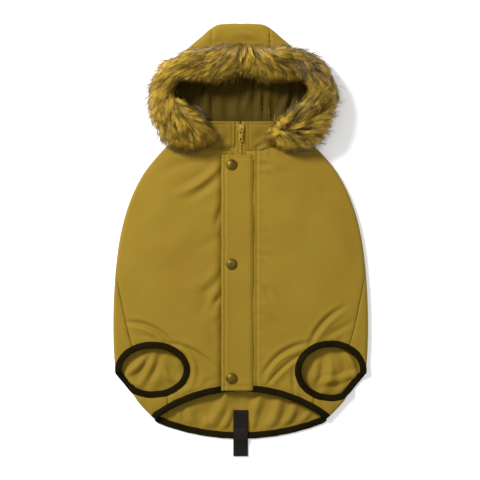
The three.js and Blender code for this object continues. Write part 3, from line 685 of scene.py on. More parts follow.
def flapStitching():
    y = np.linspace(flap["bottom"] + flap["hemStitch"], flap["top"] - flap["topStitch"], 160)
    x = np.linspace(flap["left"] + flap["sideStitch"], flap["right"] - 1.5, 30)
    ends = [spots(x, at, flapTop(x, at)) for at in (y[-1], y[0])]
    rightX, rightY = flap["right"] + flap["rightStitch"], np.linspace(frontHemY(23) + 6, 116, 160)
    right = spots(rightX, rightY, frontFace(rightX, rightY))
    stitching("flap_stitching", [onFlap(x[0], y), *ends, right], goldThread)


flapPiece()
flapStitching()
print("flap sewn over the zip")

# the collar's two halves, between the neck seam and the hood's opening
collar = {
    "topY": 158.3, "zipX": 7, "outerX": 45, "rise": 1.8, "step": 1.5, "topStitch": 4.3, "zipStitch": 4.2,
    "rows": 26, "wall": 2, "leftRise": 2.4, "hills": 0.3, "hillSize": 24,
    "creases": [
        (19, 121.5, 31, 128.5, 0, 2.6, -1.6), (22, 119.5, 36, 126, 0, 3, 0.9),
        (18, 133, 34, 138, 2, 4, -0.7), (14, 144, 30, 149, 2, 5, 0.6), (-14, 121, -34, 124, -2, 3, -0.8),
        (-16, 127, -32, 129, 1, 3.5, 0.7), (-15, 134, -34, 131, 1, 4, -0.7),
        (-18, 146, -36, 141, 2, 5, 0.6), (-26, 150, -40, 146, 0, 4, -0.6),
    ],
}


def middleTop(y):
    # the level of the zip, from the hem to the collar's top
    rise = collar["rise"] * smooth(neck["frontY"], collar["topY"], y)
    return frontTop(0, np.minimum(y, neck["frontY"])) + rise


def onCollar(x, y):
    fromZip, fromTop = np.abs(x) - collar["zipX"], collar["topY"] - y
    seam = frontNeckY(x)
    fromSeam = smooth(0, 9, y - seam)
    z = middleTop(y) * fromSeam + (frontFace(x, np.minimum(y, seam)) + 0.7) * (1 - fromSeam)
    z = z + creaseLift(x, y, collar["creases"]) * smooth(0, 4, fromTop)
    z = z - rolled(fromZip, 0.8, 0.8) - rolled(fromTop, 0.8, 0.8) + seamDip(y - seam, 0.7, 2.2)
    for away in (fromZip - collar["zipStitch"], fromTop - collar["topStitch"]):
        z = z + swells(away, (-1.1, 0, 1.1), (0.4, -2.2, 1.3), (0.3, 2.6, 1.5))
    z = z + collar["leftRise"] * smooth(-12, -38, x) * fromSeam  # the left half rises towards the fur
    return spots(x, y, z + collar["hills"] * undulation(x, y, 31, collar["hillSize"]) * fromSeam)


def collarHalf(side, name):
    x = side * steps(collar["zipX"], collar["outerX"], collar["step"])[None, :]
    low = frontNeckY(x) - 0.3
    y = low + (collar["topY"] - low) * np.linspace(0, 1, collar["rows"])[:, None]
    piece = clothFromGrid(name + "_panel", onCollar(x, y), collarClothPaintedShade, collar["wall"], flip=side < 0,
                          nodes=[name])
    across = side * np.linspace(collar["zipX"] + collar["zipStitch"], collar["outerX"] - 4, 30)
    up = np.linspace(neck["frontY"] + 2, collar["topY"] - collar["topStitch"], 30)
    stitching(name + "_stitching", [onCollar(across, up[-1]), onCollar(across[0], up)], goldThread)


collarHalf(-1, "collar_left")
collarHalf(1, "collar_right")
print("collar sewn on")

# the zip: tapes, moulded teeth, slider and pull
zipSizes = {
    "bottomY": -188, "teethTop": 150, "tapeFrom": 0.8, "tapeTo": 13.6, "tapeThick": 1, "tapeWall": 0.8,
    "depth": 1.2, "pitch": 2.9, "toothLong": 4.2, "toothWide": 1.75, "toothThick": 2.3, "overlap": 1.3,
}
slider = {
    "topY": 154.5, "length": 11, "width": 9, "thick": 5.6, "bridgeFromTop": 6, "bridgeRise": 1.3,
    "bridgeOuter": 2.7, "bridgeInner": 1.6, "bridgeHalf": 0.8, "edge": 0.35,
}
pull = {
    "length": 18, "halfWidth": 2.9, "thick": 1.2, "hole": 1.65, "holeFromTip": 3.4, "upperHole": 1.6,
    "upperHoleFrom": 5.5, "tilt": 5, "plateFrom": 3.3, "cheekTo": 0.9, "bar": 0.7, "windowHalf": 1.2,
    "edge": 0.22,
}


def zipTape(side, name):
    # its free edge shows beside the teeth, and the rest lies under the cloth it is sewn to
    y = np.linspace(zipSizes["bottomY"], collar["topY"] - 0.3, 200)[:, None]
    x = np.linspace(zipSizes["tapeFrom"], zipSizes["tapeTo"], 11)[None, :]
    under = 1.7 * smooth(6.5, 8.5, x) + 2.6 * smooth(6.4, 8.5, x) * (1 - smooth(108, 120, y))
    under = under + 0.9 * (1 - smooth(2, 3.6, x))
    z = middleTop(y) - zipSizes["depth"] + zipSizes["tapeThick"] / 2 - under + 0.12 * ripple(y / 9, 41 + side)
    piece = clothFromGrid(name + "_cloth", spots(side * x, y, z), tapeCloth, zipSizes["tapeWall"],
                          flip=side < 0, nodes=[name])


def zipTeeth():
    # each tooth is a rounded block with a waist, and the two rows mesh in the middle
    size = zipSizes
    outline = [(-0.5, 0.36), (-0.36, 0.5), (0.05, 0.34), (0.28, 0.46), (0.5, 0.3)]
    outline = outline + [(a, -b) for a, b in outline[::-1]]
    levels = [(-0.5, 0.8), (-0.3, 1), (0.3, 1), (0.5, 0.78)]
    parts = []
    for side in (-1, 1):
        a, b = np.array(outline[:: -side]).T * [[size["toothLong"]], [size["toothWide"]]]
        for k in range(int((size["teethTop"] - size["bottomY"]) / size["pitch"])):
            y = size["teethTop"] - size["toothWide"] / 2 - (k + (0.5 if side > 0 else 0)) * size["pitch"]
            x = side * (size["toothLong"] / 2 - size["overlap"])
            z = float(middleTop(y)) - size["depth"]
            parts.append(tubeParts(np.array([
                spots(x - side * a * grow, y + b * grow, z + level * size["toothThick"])
                for level, grow in levels
            ])))
    pieceFrom("zip_chain_teeth", meshFrom("zip_chain_teeth", *joinParts(parts)), teethPlastic,
              nodes=["zip_chain"])


def metalPiece(name, rides, node, parts, edge):
    piece = pieceFrom(name, meshFrom(name, *parts, soft=False), sliderLacquer, rides, [node])
    edges = piece.modifiers.new("edges", "BEVEL")  # softened edges catch the light
    edges.width = edge * mm
    edges.segments = 3
    edges.limit_method = "ANGLE"
    edges.angle_limit = math.radians(35)


def plateParts(outline, low, high, hollows=()):
    # a flat plate between two heights, with its round hollows bridged to the outline
    shape = bmesh.new()
    edges = []
    for loop in (outline, *hollows):
        corners = [shape.verts.new((x, y, low)) for x, y in loop]
        edges += [shape.edges.new((corners[k], corners[(k + 1) % len(corners)])) for k in range(len(corners))]
    bmesh.ops.triangle_fill(shape, use_beauty=True, use_dissolve=False, edges=edges)
    made = bmesh.ops.extrude_face_region(shape, geom=shape.faces[:])
    for corner in (item for item in made["geom"] if isinstance(item, bmesh.types.BMVert)):
        corner.co.z = high
    bmesh.ops.recalc_face_normals(shape, faces=shape.faces[:])
    return takeOut(shape)


def blockParts(x1, x2, y1, y2, low, high):
    return plateParts([(x1, y1), (x2, y1), (x2, y2), (x1, y2)], low, high)


def circle(x, y, radius, count, start=0, stop=360):
    turns = np.radians(np.linspace(start, stop, count, endpoint=stop - start != 360))
    return [(x + radius * math.cos(t), y + radius * math.sin(t)) for t in turns]


def rodParts(profile, halfLength, y=0, z=0):
    # a rod along x
    return tubeParts(np.array([[(x, y + a, z + b) for a, b in profile] for x in (-halfLength, halfLength)]))


pivotY = slider["topY"] - slider["bridgeFromTop"]
sliderZ = float(middleTop(pivotY)) - zipSizes["depth"]
pivotZ = sliderZ + slider["thick"] / 2 + slider["bridgeRise"]


def sliderPiece():
    half, long, top = slider["width"] / 2, slider["length"], slider["topY"]
    inner, outer, wide = slider["bridgeInner"], slider["bridgeOuter"], slider["bridgeHalf"]
    right = [(1.4, top), (2.9, top - 0.3), (4.1, top - 1.5), (half, top - 3.6), (half - 0.2, top - 6.4),
             (half - 0.9, top - 8.8), (half - 1.4, top - long + 0.4), (half - 1.9, top - long)]
    outline = right + [(-x, y) for x, y in right[::-1]]
    parts = []
    for low, high in ((0.45, 0.98), (-0.98, -0.45)):  # upper and lower plate
        z = slider["thick"] / 2
        parts.append(plateParts(outline, sliderZ + low * z, sliderZ + high * z))
    wedge = [(-1.1, top - 4.1), (1.1, top - 4.1), (2.2, top - 0.5), (-2.2, top - 0.5)]
    parts.append(plateParts(wedge, sliderZ - 2, sliderZ + 2))
    arch = circle(0, 0, outer, 15, 0, 180) + circle(0, 0, inner, 15, 180, 0)
    parts.append(rodParts(arch, wide, pivotY, pivotZ))
    for near, far in ((-outer, -inner), (inner, outer)):  # the bridge's two feet
        parts.append(blockParts(-wide, wide, pivotY + near, pivotY + far,
                                pivotZ - slider["bridgeRise"] - 0.3, pivotZ + 0.02))
    metalPiece("zip_slider_body", "parka", "zip_slider", joinParts(parts), slider["edge"])


def pullPiece():
    half, long, h, start = pull["halfWidth"], pull["length"], pull["thick"] / 2, -pull["plateFrom"]
    right = [(half, start), (half * 0.9, -7), (half * 0.9, -11)]
    plate = right + circle(0, -long + half, half, 17, 180, 360)[::-1] + [(-x, y) for x, y in right[::-1]]
    holes = [circle(0, -long + pull["holeFromTip"], pull["hole"], 16),
             circle(0, -pull["upperHoleFrom"], pull["upperHole"], 16)]
    parts = [plateParts(plate, -h, h, holes)]
    window = pull["windowHalf"]
    for near, far in ((-half, -window), (window, half)):  # two cheeks that hold the bar
        parts.append(blockParts(near, far, start - 0.3, pull["cheekTo"], -h, h))
    bar = [(pull["bar"] * math.cos(t), pull["bar"] * math.sin(t)) for t in np.arange(12) * math.pi / 6]
    parts.append(rodParts(bar, half - 0.05))
    points, faces = joinParts(parts)
    tilt = math.radians(pull["tilt"])
    x, y, z = points.T
    points = spots(x, pivotY + (y * math.cos(tilt) - z * math.sin(tilt)),
                   pivotZ + (y * math.sin(tilt) + z * math.cos(tilt)))
    metalPiece("zip_pull_tab", "zip_pull", "zip_pull", (points, faces), pull["edge"])


def snapCap(name, y):
    # a spun cap: rolled rim, shallow groove and dome
    seat = float(np.max(flapTop(flap["snapX"], np.array([y - 7, y, y + 7])))) + 0.05
    profile = [(0, 0), (6.9, 0), (7.4, 0.25), (7.5, 0.65), (7.3, 1.05), (6.95, 1.2), (6.6, 1.12), (6.4, 1.2),
               (6.1, 1.6), (5.4, 2.2), (4.3, 2.75), (2.9, 3.08), (1.4, 3.22), (0, 3.26)]
    turn = np.arange(40) * 2 * math.pi / 40
    r, z = np.array(profile).T[:, :, None]
    r = np.maximum(r, 0.02)
    rings = spots(flap["snapX"] + r * np.cos(turn), y + r * np.sin(turn), seat + z)
    pieceFrom(name + "_metal", meshFrom(name, *tubeParts(rings)), agedBrass, nodes=[name])


zipTape(-1, "zip_tape_left")
zipTape(1, "zip_tape_right")
zipTeeth()
sliderPiece()
pullPiece()
for name, y in zip(("top", "middle", "bottom"), flap["snapY"]):
    snapCap("snap_cap_" + name, y)
print("zip and snaps fitted")

# the binding is a strip folded over the raw edge, with its fold on the free side
binding = {"halfWidth": 4.5, "halfThick": 1.6, "cloth": 0.75, "stitchIn": 3.1, "stitchLift": 1.5}
backMiddleZ = binding["halfThick"] + 0.12
upward = np.array([0.0, 0, 1])


def bindingProfile():
    # across and up, from under the cloth round the fold to over it
    free, high = -binding["halfWidth"], binding["halfThick"]
    turns = np.radians(np.linspace(-75, 75, 7))
    turn = [(free + high * (1 - math.cos(t)), high * math.sin(t)) for t in turns]
    under = [(4.5, -1.05), (4.15, -1.4), (2.6, -1.55), (0.4, -1.6), (-1.6, -high)]
    return np.array(under + turn + [(a, -b) for a, b in under[::-1]])


def bandParts(centres, acrosses, ups, seed, closed=False, middleAt=None, taper=None):
    # middleAt gives the height of the cloth that the band lies on, and taper narrows its free side
    profile = bindingProfile()
    count = len(centres)
    sway = 0.25 * ripple(np.arange(count) / 9, seed)
    if closed:
        sway = sway * np.minimum(1, np.minimum(np.arange(count), count - 1 - np.arange(count)) / 8)
    rings = []
    for k, (c, across, up) in enumerate(zip(centres, acrosses, ups)):
        a = profile[:, 0] + sway[k]
        a = np.where(a < 0, a * (1 if taper is None else taper[k]), a)
        ring = c + across * a[:, None] + up * (profile[:, 1] * (1 + 0.5 * sway[k]))[:, None]
        if middleAt is not None and up[2] > 0.99:
            ring[:, 2] += middleAt(ring[:, 0], ring[:, 1]) - middleAt(c[0], c[1])
        rings.append(ring)
    rings = np.array(rings)
    return rings.reshape(-1, 3), gridFaces(*rings.shape[:2], roundRows=closed)


def frontMiddle(x, y):
    return frontFace(x, y) - body["wall"] / 2


def unit(vector):
    return vector / np.linalg.norm(vector, axis=-1, keepdims=True)


def bandPiece(node, bands, lines, stitchName):
    mesh = meshFrom(node + "_cloth", *joinParts(bands))
    piece = pieceFrom(node + "_cloth", mesh, bindingCloth, nodes=[node])
    giveWall(piece, binding["cloth"])
    stitching(stitchName, lines, blackThread, "binding_cloth", length=2, thick=0.5)


def armholePoint(hole, angle, grow=0):
    x = hole["x"] + (hole["halfLength"] + grow) * np.cos(np.radians(angle))
    y = hole["y"] + (hole["halfWidth"] + grow) * np.sin(np.radians(angle))
    beyond = np.maximum(beyondChord(x, y) - grow, 0)
    return hole["side"] * (x - armholeLow["outX"] * beyond), y - armholeLow["outY"] * beyond


def armholeBinding(name, hole):
    start, end, rampOut = armholeLow["from"], armholeLow["to"], armholeLow["rampOut"]

    def middleAt(x, y):
        turn = np.degrees(np.arctan2((y - hole["y"]) / hole["halfWidth"],
                                     (hole["side"] * x - hole["x"]) / hole["halfLength"])) % 360
        down = smooth(start - armholeLow["rampIn"], start, turn) * (1 - smooth(end, end + rampOut, turn))
        down = np.maximum(down, 1 - smooth(end, end + rampOut, turn + 360))
        high = frontMiddle(x, y)
        return high + (backMiddleZ - high) * down

    angle = np.linspace(0, 360, 96, endpoint=False)
    x, y = armholePoint(hole, angle)
    outX, outY = armholePoint(hole, angle, 1)
    acrosses = unit(spots(outX - x, outY - y, 0))
    order = slice(None, None, hole["side"])
    centres = spots(x, y, middleAt(x, y))
    band = bandParts(centres[order], acrosses[order], [upward] * len(x), 51, True, middleAt)
    x, y = armholePoint(hole, angle, binding["stitchIn"])
    line = spots(x, y, middleAt(x, y) + binding["stitchLift"])
    line = np.concatenate([line, line[:1]])
    bandPiece("armhole_binding_" + name, [band], [line], "armhole_stitching_" + name)


def hemArcNormal(x, radius, sense):
    return spots(sense * x / radius, np.sqrt(1 - (x / radius) ** 2), 0)


def hemBinding():
    cornerX, foldX, foldY = 113, 0.78, 0.62  # the corner's place, and which way the side fold runs there
    bands, lines = [], []
    for side in (-1, 1):
        x = side * np.linspace(7.6, cornerX, 44)
        y = frontHemY(x)
        centres = list(spots(x, y, frontMiddle(x, y)))
        acrosses = hemArcNormal(x, frontHem["radius"], 1)
        inner = spots(x, y, 0) + acrosses * binding["stitchIn"]
        lineX, lineY = inner[:, 0], inner[:, 1]
        lines.append(spots(lineX, lineY, frontMiddle(lineX, lineY) + binding["stitchLift"]))
        acrosses, ups = list(acrosses), [upward] * len(x)
        outward = np.array([side * foldY, -foldX, 0])
        top = centres[-1]
        r = (top[2] - backMiddleZ) / 2
        for turn in np.radians(np.linspace(75, -90, 12)):  # round the side fold
            up = outward * math.cos(turn) + upward * math.sin(turn)
            centres.append(top + np.array([0, 0, -r]) + up * r)
            acrosses.append(np.array([side * foldX, foldY, 0]))
            ups.append(up)
        order = slice(None, None, -side)
        bands.append(bandParts(centres[order], acrosses[order], ups[order], 53 + side, middleAt=frontMiddle))
    x = np.linspace(-cornerX - 1, cornerX + 1, 90)
    acrosses = hemArcNormal(x, backHem["radius"], -1)
    centres = spots(x, backHemY(x), backMiddleZ)
    corner = np.clip((np.abs(x) - cornerX + 6) / 8, 0, 0.97)
    taper = np.sqrt(1 - corner**2)
    bands.append(bandParts(centres[::-1], acrosses[::-1], [upward] * len(x), 56, taper=taper))
    lines.append(centres + acrosses * binding["stitchIn"] + np.array([0, 0, 1.55]))
    bandPiece("hem_binding", bands, lines, "hem_stitching")


for name, hole in armholes.items():
    armholeBinding(name, hole)
hemBinding()
print("hem and armholes bound")

# a ribbed strap folded under at its upper end and sewn inside the back, over the hem
tab = {
    "halfWidth": 9.9, "thick": 1.8, "rib": 1.7, "ribHigh": 0.1,
    "path": [(-226.3, 1.9), (-227.4, 2.6), (-229.5, 2.7), (-249.6, 2.7), (-255.6, 3.7), (-265.2, 3.7),
             (-272.2, 0.9), (-278, 0.5), (-288, 0.5)],
    "stitchY": [-233.4, -283.6],
}


def tabTop(y):
    return curveThrough(*zip(*tab["path"]))(y) + tab["thick"]


def hemTab():
    half, stitchX = tab["halfWidth"], np.linspace(-8.4, 8.4, 20)
    y = np.linspace(tab["path"][0][0], tab["path"][-1][0], 186)[:, None]
    x = np.linspace(-half, half, 15)[None, :]
    z = tabTop(y) + tab["ribHigh"] * np.sin(y / tab["rib"] * 2 * math.pi) * smooth(0, 1.5, half - np.abs(x))
    z = z - 0.25 * (1 - smooth(0, 1.2, half - np.abs(x)))
    for stitchY in tab["stitchY"]:
        z = z - 0.35 * bump(y, stitchY, 0.8)
    x = x + 0.15 * np.sin(y / tab["rib"] * math.pi) * np.sign(x) * (np.abs(x) > 9)
    piece = clothFromGrid("hem_tab_webbing", spots(x, y, z), webbing, tab["thick"] - 0.1, flip=True,
                          nodes=["hem_tab"])
    lines = [spots(stitchX, at, tabTop(at) - 0.2) for at in tab["stitchY"]]
    stitching("hem_tab_stitching", lines, blackThread, "webbing", thick=0.6)


hemTab()
print("hem tab sewn on")

# the hood lies open on its back: a ring of cloth round the opening, a fold, and a floor inside
hoodSections = [
    # direction from the middle, reach of the opening's edge and its height, reach of the fold and its radius
    (-90, 72, 16.4, 91, 4.6), (-59, 69, 16.4, 100, 4.6), (-43, 77, 17.2, 105, 4.8),
    (-27, 89, 18.4, 101, 6.5), (-11, 101, 19.6, 112, 8), (2, 104, 20.2, 114, 8.5),
    (15, 98, 20.2, 108, 8.5), (28, 81, 20, 96, 8.5), (41, 57.5, 19.8, 92, 8.5),
    (54, 47.5, 19.6, 91.4, 8.5), (63, 44.2, 19.4, 94, 8.5), (71, 42.4, 19.2, 96, 8.5),
    (78, 41.4, 19, 94.2, 8.5), (90, 40.5, 19, 92.3, 8.5),
]
hood = {
    "middleY": 196, "step": 2.5, "wall": 1.7, "seamX": 39, "seamGap": 0.02,
    "insideLeft": -35, "insideRight": 27,  # where the seams run across the floor
    "collarRoom": 45.3, "roomAbove": 8, "roomBelow": 175,  # the gap where the collar lies
    "liningRise": 1.6,
    # creases of its floor, seen through the opening, and then of the cloth above the fur
    "inside": [
        (-44, 150, -43, 236, 2, 3.6, 4.2), (-24, 152, -27, 214, 2, 5, 1.6),
        (12, 222, 6, 176, 2, 4, 2.6), (23, 150, 26, 220, -1, 3.2, 2.8), (36, 152, 40, 222, 2, 3.6, 2.4),
        (47, 156, 64, 206, -3, 3.4, 5), (60, 160, 78, 200, -2, 4, 2.6),
        (-8, 150, -4, 196, 1, 6, 1.2),
    ],
    "outside": [
        (-30, 282, -44, 262, 2, 4, 1.4), (2, 270, 22, 262, 0, 4, -2), (28, 280, 46, 264, -2, 4, 1.4),
        (-8, 284, 10, 276, 1, 6, 1.2), (58, 268, 68, 256, 0, 3, -1.2), (-62, 262, -76, 250, 0, 3, -1.2),
        (-34, 262, 30, 258, 2, 6, -2.2),
        (84, 130, 104, 142, 2, 4, -0.8), (-84, 130, -104, 142, 2, 4, -0.8),
    ],
}
hoodAngles, hoodEdges, hoodEdgeZs, hoodFolds, hoodTurns = zip(*hoodSections)


def roundHood(values, angles=hoodAngles):
    # the left side mirrors the right
    curve = curveThrough(angles, values)
    return lambda angle: curve(90 - np.abs(90 - np.mod(np.asarray(angle, float) + 90, 360) + 90))


edgeReach, edgeHeight = roundHood(hoodEdges), roundHood(hoodEdgeZs)
foldReach, foldTurn = roundHood(hoodFolds), roundHood(hoodTurns)


def hoodGrid():
    # rows go round the middle, and columns from the opening's edge out to the fold and back in under it
    angle = np.arange(-90, 270, hood["step"])[:, None]
    turn = np.radians(angle)
    r, edgeZ, edge = foldTurn(angle), edgeHeight(angle), edgeReach(angle)
    foldFrom = foldReach(angle) - r
    t = np.linspace(0, 1, 15)[None, :-1]
    slopeReach, slopeZ = edge + (foldFrom - edge) * t, edgeZ + (2 * r - edgeZ) * smooth(0, 1, t)
    a = np.radians(np.linspace(90, -90, 13))[None, :]
    turnReach, turnZ = foldFrom + r * np.cos(a), r + r * np.sin(a)
    s = np.linspace(1, 0.004, 36)[None, 1:]
    floorReach = foldFrom * s
    reach = np.concatenate([slopeReach, turnReach, floorReach], 1)
    z = np.concatenate([slopeZ - rolled(t * 14, 0.9, 1), turnZ, 0 * floorReach], 1)
    x, y = reach * np.cos(turn), hood["middleY"] + reach * np.sin(turn)
    topShare, lowShare = np.zeros(z.shape), np.zeros(z.shape)
    topShare[:, :t.size] = smooth(0, 0.15, 1 - t)
    lowShare[:, t.size + a.size:] = smooth(0, 10, foldFrom * (1 - s))
    z = z + creaseLift(x, y, hood["outside"]) * topShare + 0.5 * undulation(x, y, 61, 40) * topShare
    low = hood["liningRise"] * creaseLift(x, y, hood["inside"]) + 1 + 0.6 * undulation(x, y, 62, 34)
    low = low + 5 * bump(y, 160, 17)
    return spots(x, y, z + np.clip(low, 0, 7) * lowShare)


def cutAlong(shape, axis, place, keepSide, shift):
    # cut one side away along a line that leans or bends with the cloth
    for corner in shape.verts:
        corner.co[axis] += shift(corner.co)
    everything = shape.verts[:] + shape.edges[:] + shape.faces[:]
    point, normal = np.eye(3)[axis] * place, np.eye(3)[axis] * keepSide
    bmesh.ops.bisect_plane(shape, geom=everything, plane_co=point, plane_no=normal, clear_inner=True)
    for corner in shape.verts:
        corner.co[axis] -= shift(corner.co)


def neckLine(co):
    front = float(smooth(4, 9, co.z))
    return -float(backNeckY(co.x)) * (1 - front) - float(frontNeckY(co.x)) * front


# where each seam crosses the floor, and where it crosses the cloth outside
leftSeam = (hood["insideLeft"], -hood["seamX"])
rightSeam = (hood["insideRight"], hood["seamX"])


def seamLean(inside, outside):
    # the seam crosses the fold a little askew
    return lambda co: (outside - inside) * float(1 - smooth(2, 9, co.z)) * float(1 - smooth(252, 284, co.y))


def hoodPanel(name, keepLeft, keepRight):
    grid = hoodGrid()
    shape = bmesh.new()
    corners = [shape.verts.new(point) for point in grid.reshape(-1, 3)]
    for face in gridFaces(*grid.shape[:2], roundRows=True):
        shape.faces.new([corners[k] for k in face])
    middle = shape.verts.new((0, hood["middleY"], grid[:, -1, 2].mean()))
    rim = corners[grid.shape[1] - 1::grid.shape[1]]
    for k, corner in enumerate(rim):
        shape.faces.new([corner, middle, rim[(k + 1) % len(rim)]])
    middles = [(face, face.calc_center_median()) for face in shape.faces]
    room = [face for face, at in middles
            if abs(at.x) < hood["collarRoom"] and at.z > hood["roomAbove"] and at.y < hood["roomBelow"]]
    bmesh.ops.delete(shape, geom=room, context="FACES")
    cutAlong(shape, 1, 0.25, 1, neckLine)
    for seam, side in ((keepLeft, 1), (keepRight, -1)):
        if seam is not None:
            cutAlong(shape, 0, seam[1] + side * hood["seamGap"], side, seamLean(*seam))
    bmesh.ops.recalc_face_normals(shape, faces=shape.faces[:])
    for corner in shape.verts:  # cloth turns down into the seams
        for seam in (leftSeam, rightSeam):
            away = abs(corner.co.x + seamLean(*seam)(corner.co) - seam[1])
            sink = 0.8 * math.exp(-((away / 2.2) ** 2))
            corner.co.z -= sink if corner.co.z > 10 else -0.6 * sink
    piece = pieceFrom(name + "_panel", meshFrom(name, *takeOut(shape)), shellCloth, nodes=[name])
    # the inner face gets the darkened twill, painted shade inside the hood
    piece.data.materials.append(hoodLiningPaintedShade)
    giveWall(piece, hood["wall"])
    piece.modifiers["wall"].material_offset = 1


hoodPanel("hood_left", None, leftSeam)
hoodPanel("hood_centre", leftSeam, rightSeam)
hoodPanel("hood_right", rightSeam, None)
print("hood cut, seamed and creased")

# the fur trim: tufts of tapered hairs on a dark pile, along the edge of the opening
furSections = [
    # direction, how far it goes inward and outward from the hood's edge, height
    (-90, 9, 16, 22), (-59, 15, 20, 24), (-43, 24, 27, 28), (-27, 28, 30, 30), (-13, 27, 25.5, 29),
    (-5, 17, 23, 28), (3, 14, 20, 28), (15, 20, 19, 28), (28, 29, 21, 28), (45, 28.5, 24, 28),
    (62, 24, 25, 28), (76, 21, 25.5, 28), (90, 20.5, 26, 28),
]
furDirections, furInners, furOuters, furHeights = zip(*furSections)
fur = {
    "firstAngle": -58, "tufts": 760, "hairs": 47, "length": 36, "tuftRadius": 3.1, "clump": 0.8,
    "hairRadius": 0.36, "combReach": 12, "seed": 5, "lowest": 0.6, "loose": 0.18, "strands": 4,
    "guardSpots": 19600,  # tried for guard hairs, and about one in seventeen gets one
    "guardRadius": 0.2, "pile": 0.7, "pileStations": 150, "pileAround": 22,
    # from root to tip: how high a hair lies, as a share of the trim's height, and how thick it is
    "levels": (0.55, 0.93, 1.03, 0.99), "taper": (0.9, 1, 0.72, 0),
    "guardLevels": (0.7, 0.98, 1.05, 1.04), "guardTaper": (0.8, 1, 1, 0.1),
}
hairSteps = np.array([0, 0.34, 0.7, 1])  # the places along a hair that those are given for
# which way the fur is combed: a place, and the direction in degrees toward the tips
furComb = [
    (-94, 222, 195), (-53, 237, 190), (-44, 227, 212), (-62, 218, 210), (-22, 218, 217), (-80, 211, 230),
    (-102, 204, 257), (-116, 200, 255), (-92, 203, 250), (-58, 253, 190), (-24, 263, 182),
    (-7, 261, 196), (-7, 249, 214), (12, 260, 320), (-20, 252, 206), (22, 250, 308), (12, 241, 312),
    (30, 238, 325), (33, 262, 20), (55, 262, 18), (75, 259, 8), (72, 238, 295), (82, 234, 295),
    (103, 241, 55), (82, 220, 315), (68, 212, 210), (86, 205, 340), (28, 213, 257), (7, 222, 220),
    (110, 219, 257), (117, 201, 265), (105, 205, 300), (127, 187, 45), (-113, 190, 240),
    (-100, 193, 260), (-111, 173, 267), (-96, 173, 302), (-86, 170, 307), (-76, 159, 300),
    (-100, 159, 282), (-86, 146, 277), (-72, 142, 272), (-60, 149, 297), (-52, 147, 315),
    (-59, 158, 347), (-45, 139, 305), (-69, 178, 10), (-66, 172, 18), (-52, 171, 45), (-80, 184, 350),
    (-74, 190, 0), (-72, 122, 260), (-66, 129, 250), (-51, 119, 280), (-38, 120, 310), (-38, 156, 30),
    (76, 147, 357), (65, 134, 352), (61, 129, 327), (53, 121, 285), (43, 120, 262), (35, 125, 228),
    (34, 135, 218), (32, 147, 178), (42, 157, 120), (61, 168, 55), (72, 154, 40), (88, 177, 55),
    (103, 181, 78), (107, 170, 30), (99, 157, 15), (91, 151, 345), (118, 154, 10), (95, 131, 310),
    (63, 177, 70), (117, 183, 65), (-82, 206, 218), (-62, 208, 236), (-46, 211, 234), (-30, 213, 236),
    (-12, 218, 246), (14, 219, 268), (30, 209, 262), (46, 209, 290), (62, 206, 305), (78, 203, 335),
]


def heading(turn):
    return np.stack([np.cos(turn), np.sin(turn)], -1)


def furPath():
    angle = np.linspace(fur["firstAngle"], 180 - fur["firstAngle"], 420)
    middle = np.array([0, hood["middleY"]]) + edgeReach(angle)[:, None] * heading(np.radians(angle))
    ahead = unit(np.gradient(middle, axis=0))
    full = 0.55 + 0.45 * smooth(0, 14, np.minimum(angle - angle[0], angle[-1] - angle))
    x, y = middle.T
    narrow = 1 - 0.24 * smooth(20, 60, x) * (1 - smooth(194, 204, y))
    fuller = (2.5 - 2.5 * smooth(222, 238, y) + 7 * bump(y, 160, 13)) * smooth(45, 85, x)
    fuller = fuller + (6 * bump(y, 148, 14) - 4.5 * smooth(170, 186, y)) * smooth(-45, -85, x)
    return {
        "middle": middle, "ahead": ahead, "out": np.stack([ahead[:, 1], -ahead[:, 0]], -1),
        "inner": roundHood(furInners, furDirections)(angle) * full * narrow,
        "outer": roundHood(furOuters, furDirections)(angle) * full + fuller,
        "high": roundHood(furHeights, furDirections)(angle) * full,
        "base": edgeHeight(angle) + 0.3,
    }


furLine = furPath()


def furPlace(points):
    # the nearest place of the trim's middle line, how far across it, and 1 at the trim's outline
    flat = points.reshape(-1, 2).astype(np.float32)
    line = furLine["middle"].astype(np.float32)
    near = np.concatenate([  # some at a time, to spare memory
        np.argmin(((flat[k:k + 20000, None, :] - line[None]) ** 2).sum(-1), 1)
        for k in range(0, len(flat), 20000)
    ])
    gap = flat - furLine["middle"][near]
    off = (gap * furLine["out"][near]).sum(1)
    across = off / np.where(off > 0, furLine["outer"][near], furLine["inner"][near])
    past = np.abs((gap * furLine["ahead"][near]).sum(1)) * np.isin(near, (0, len(line) - 1)) / 8
    return [values.reshape(points.shape[:-1]) for values in (near, across, np.hypot(across, past))]


def furPoints(xy, level, lower=0):
    # hairs laid over the trim's round top, at a share of its height, and kept above the table
    near, across, outline = furPlace(xy)
    crown = np.maximum(1 - np.minimum(outline, 1) ** 2, 0) ** 0.4
    droop = 9 * np.maximum(outline - 0.93, 0) + 3 * smooth(0.7, 1, outline)
    z = furLine["base"][near] + furLine["high"][near] * crown * level - droop - lower
    return np.concatenate([xy, np.maximum(z, fur["lowest"])[..., None]], -1)


def combAt(points):
    table = np.array(furComb, float)
    away = ((points[..., None, :] - table[:, :2]) ** 2).sum(-1)
    weight = np.exp(-away / (2 * fur["combReach"] ** 2)) + 1e-9 / (away + 1)
    aim = (weight[..., None] * heading(np.radians(table[:, 2]))).sum(-2)
    agreed = np.linalg.norm(aim, axis=-1) / weight.sum(-1)  # low where the fur parts
    return np.arctan2(aim[..., 1], aim[..., 0]), smooth(0.15, 0.75, agreed)


def hairCurve(start, turn, length, bend, bow):
    # hairs run ahead from their starts and bend to one side
    aside = (length * bend)[..., None, None] * (4 * hairSteps * (1 - hairSteps) * bow + hairSteps**2)[:, None]
    return start + heading(turn)[..., None, :] * (length[..., None] * hairSteps)[..., None] + \
        heading(turn + math.pi / 2)[..., None, :] * aside


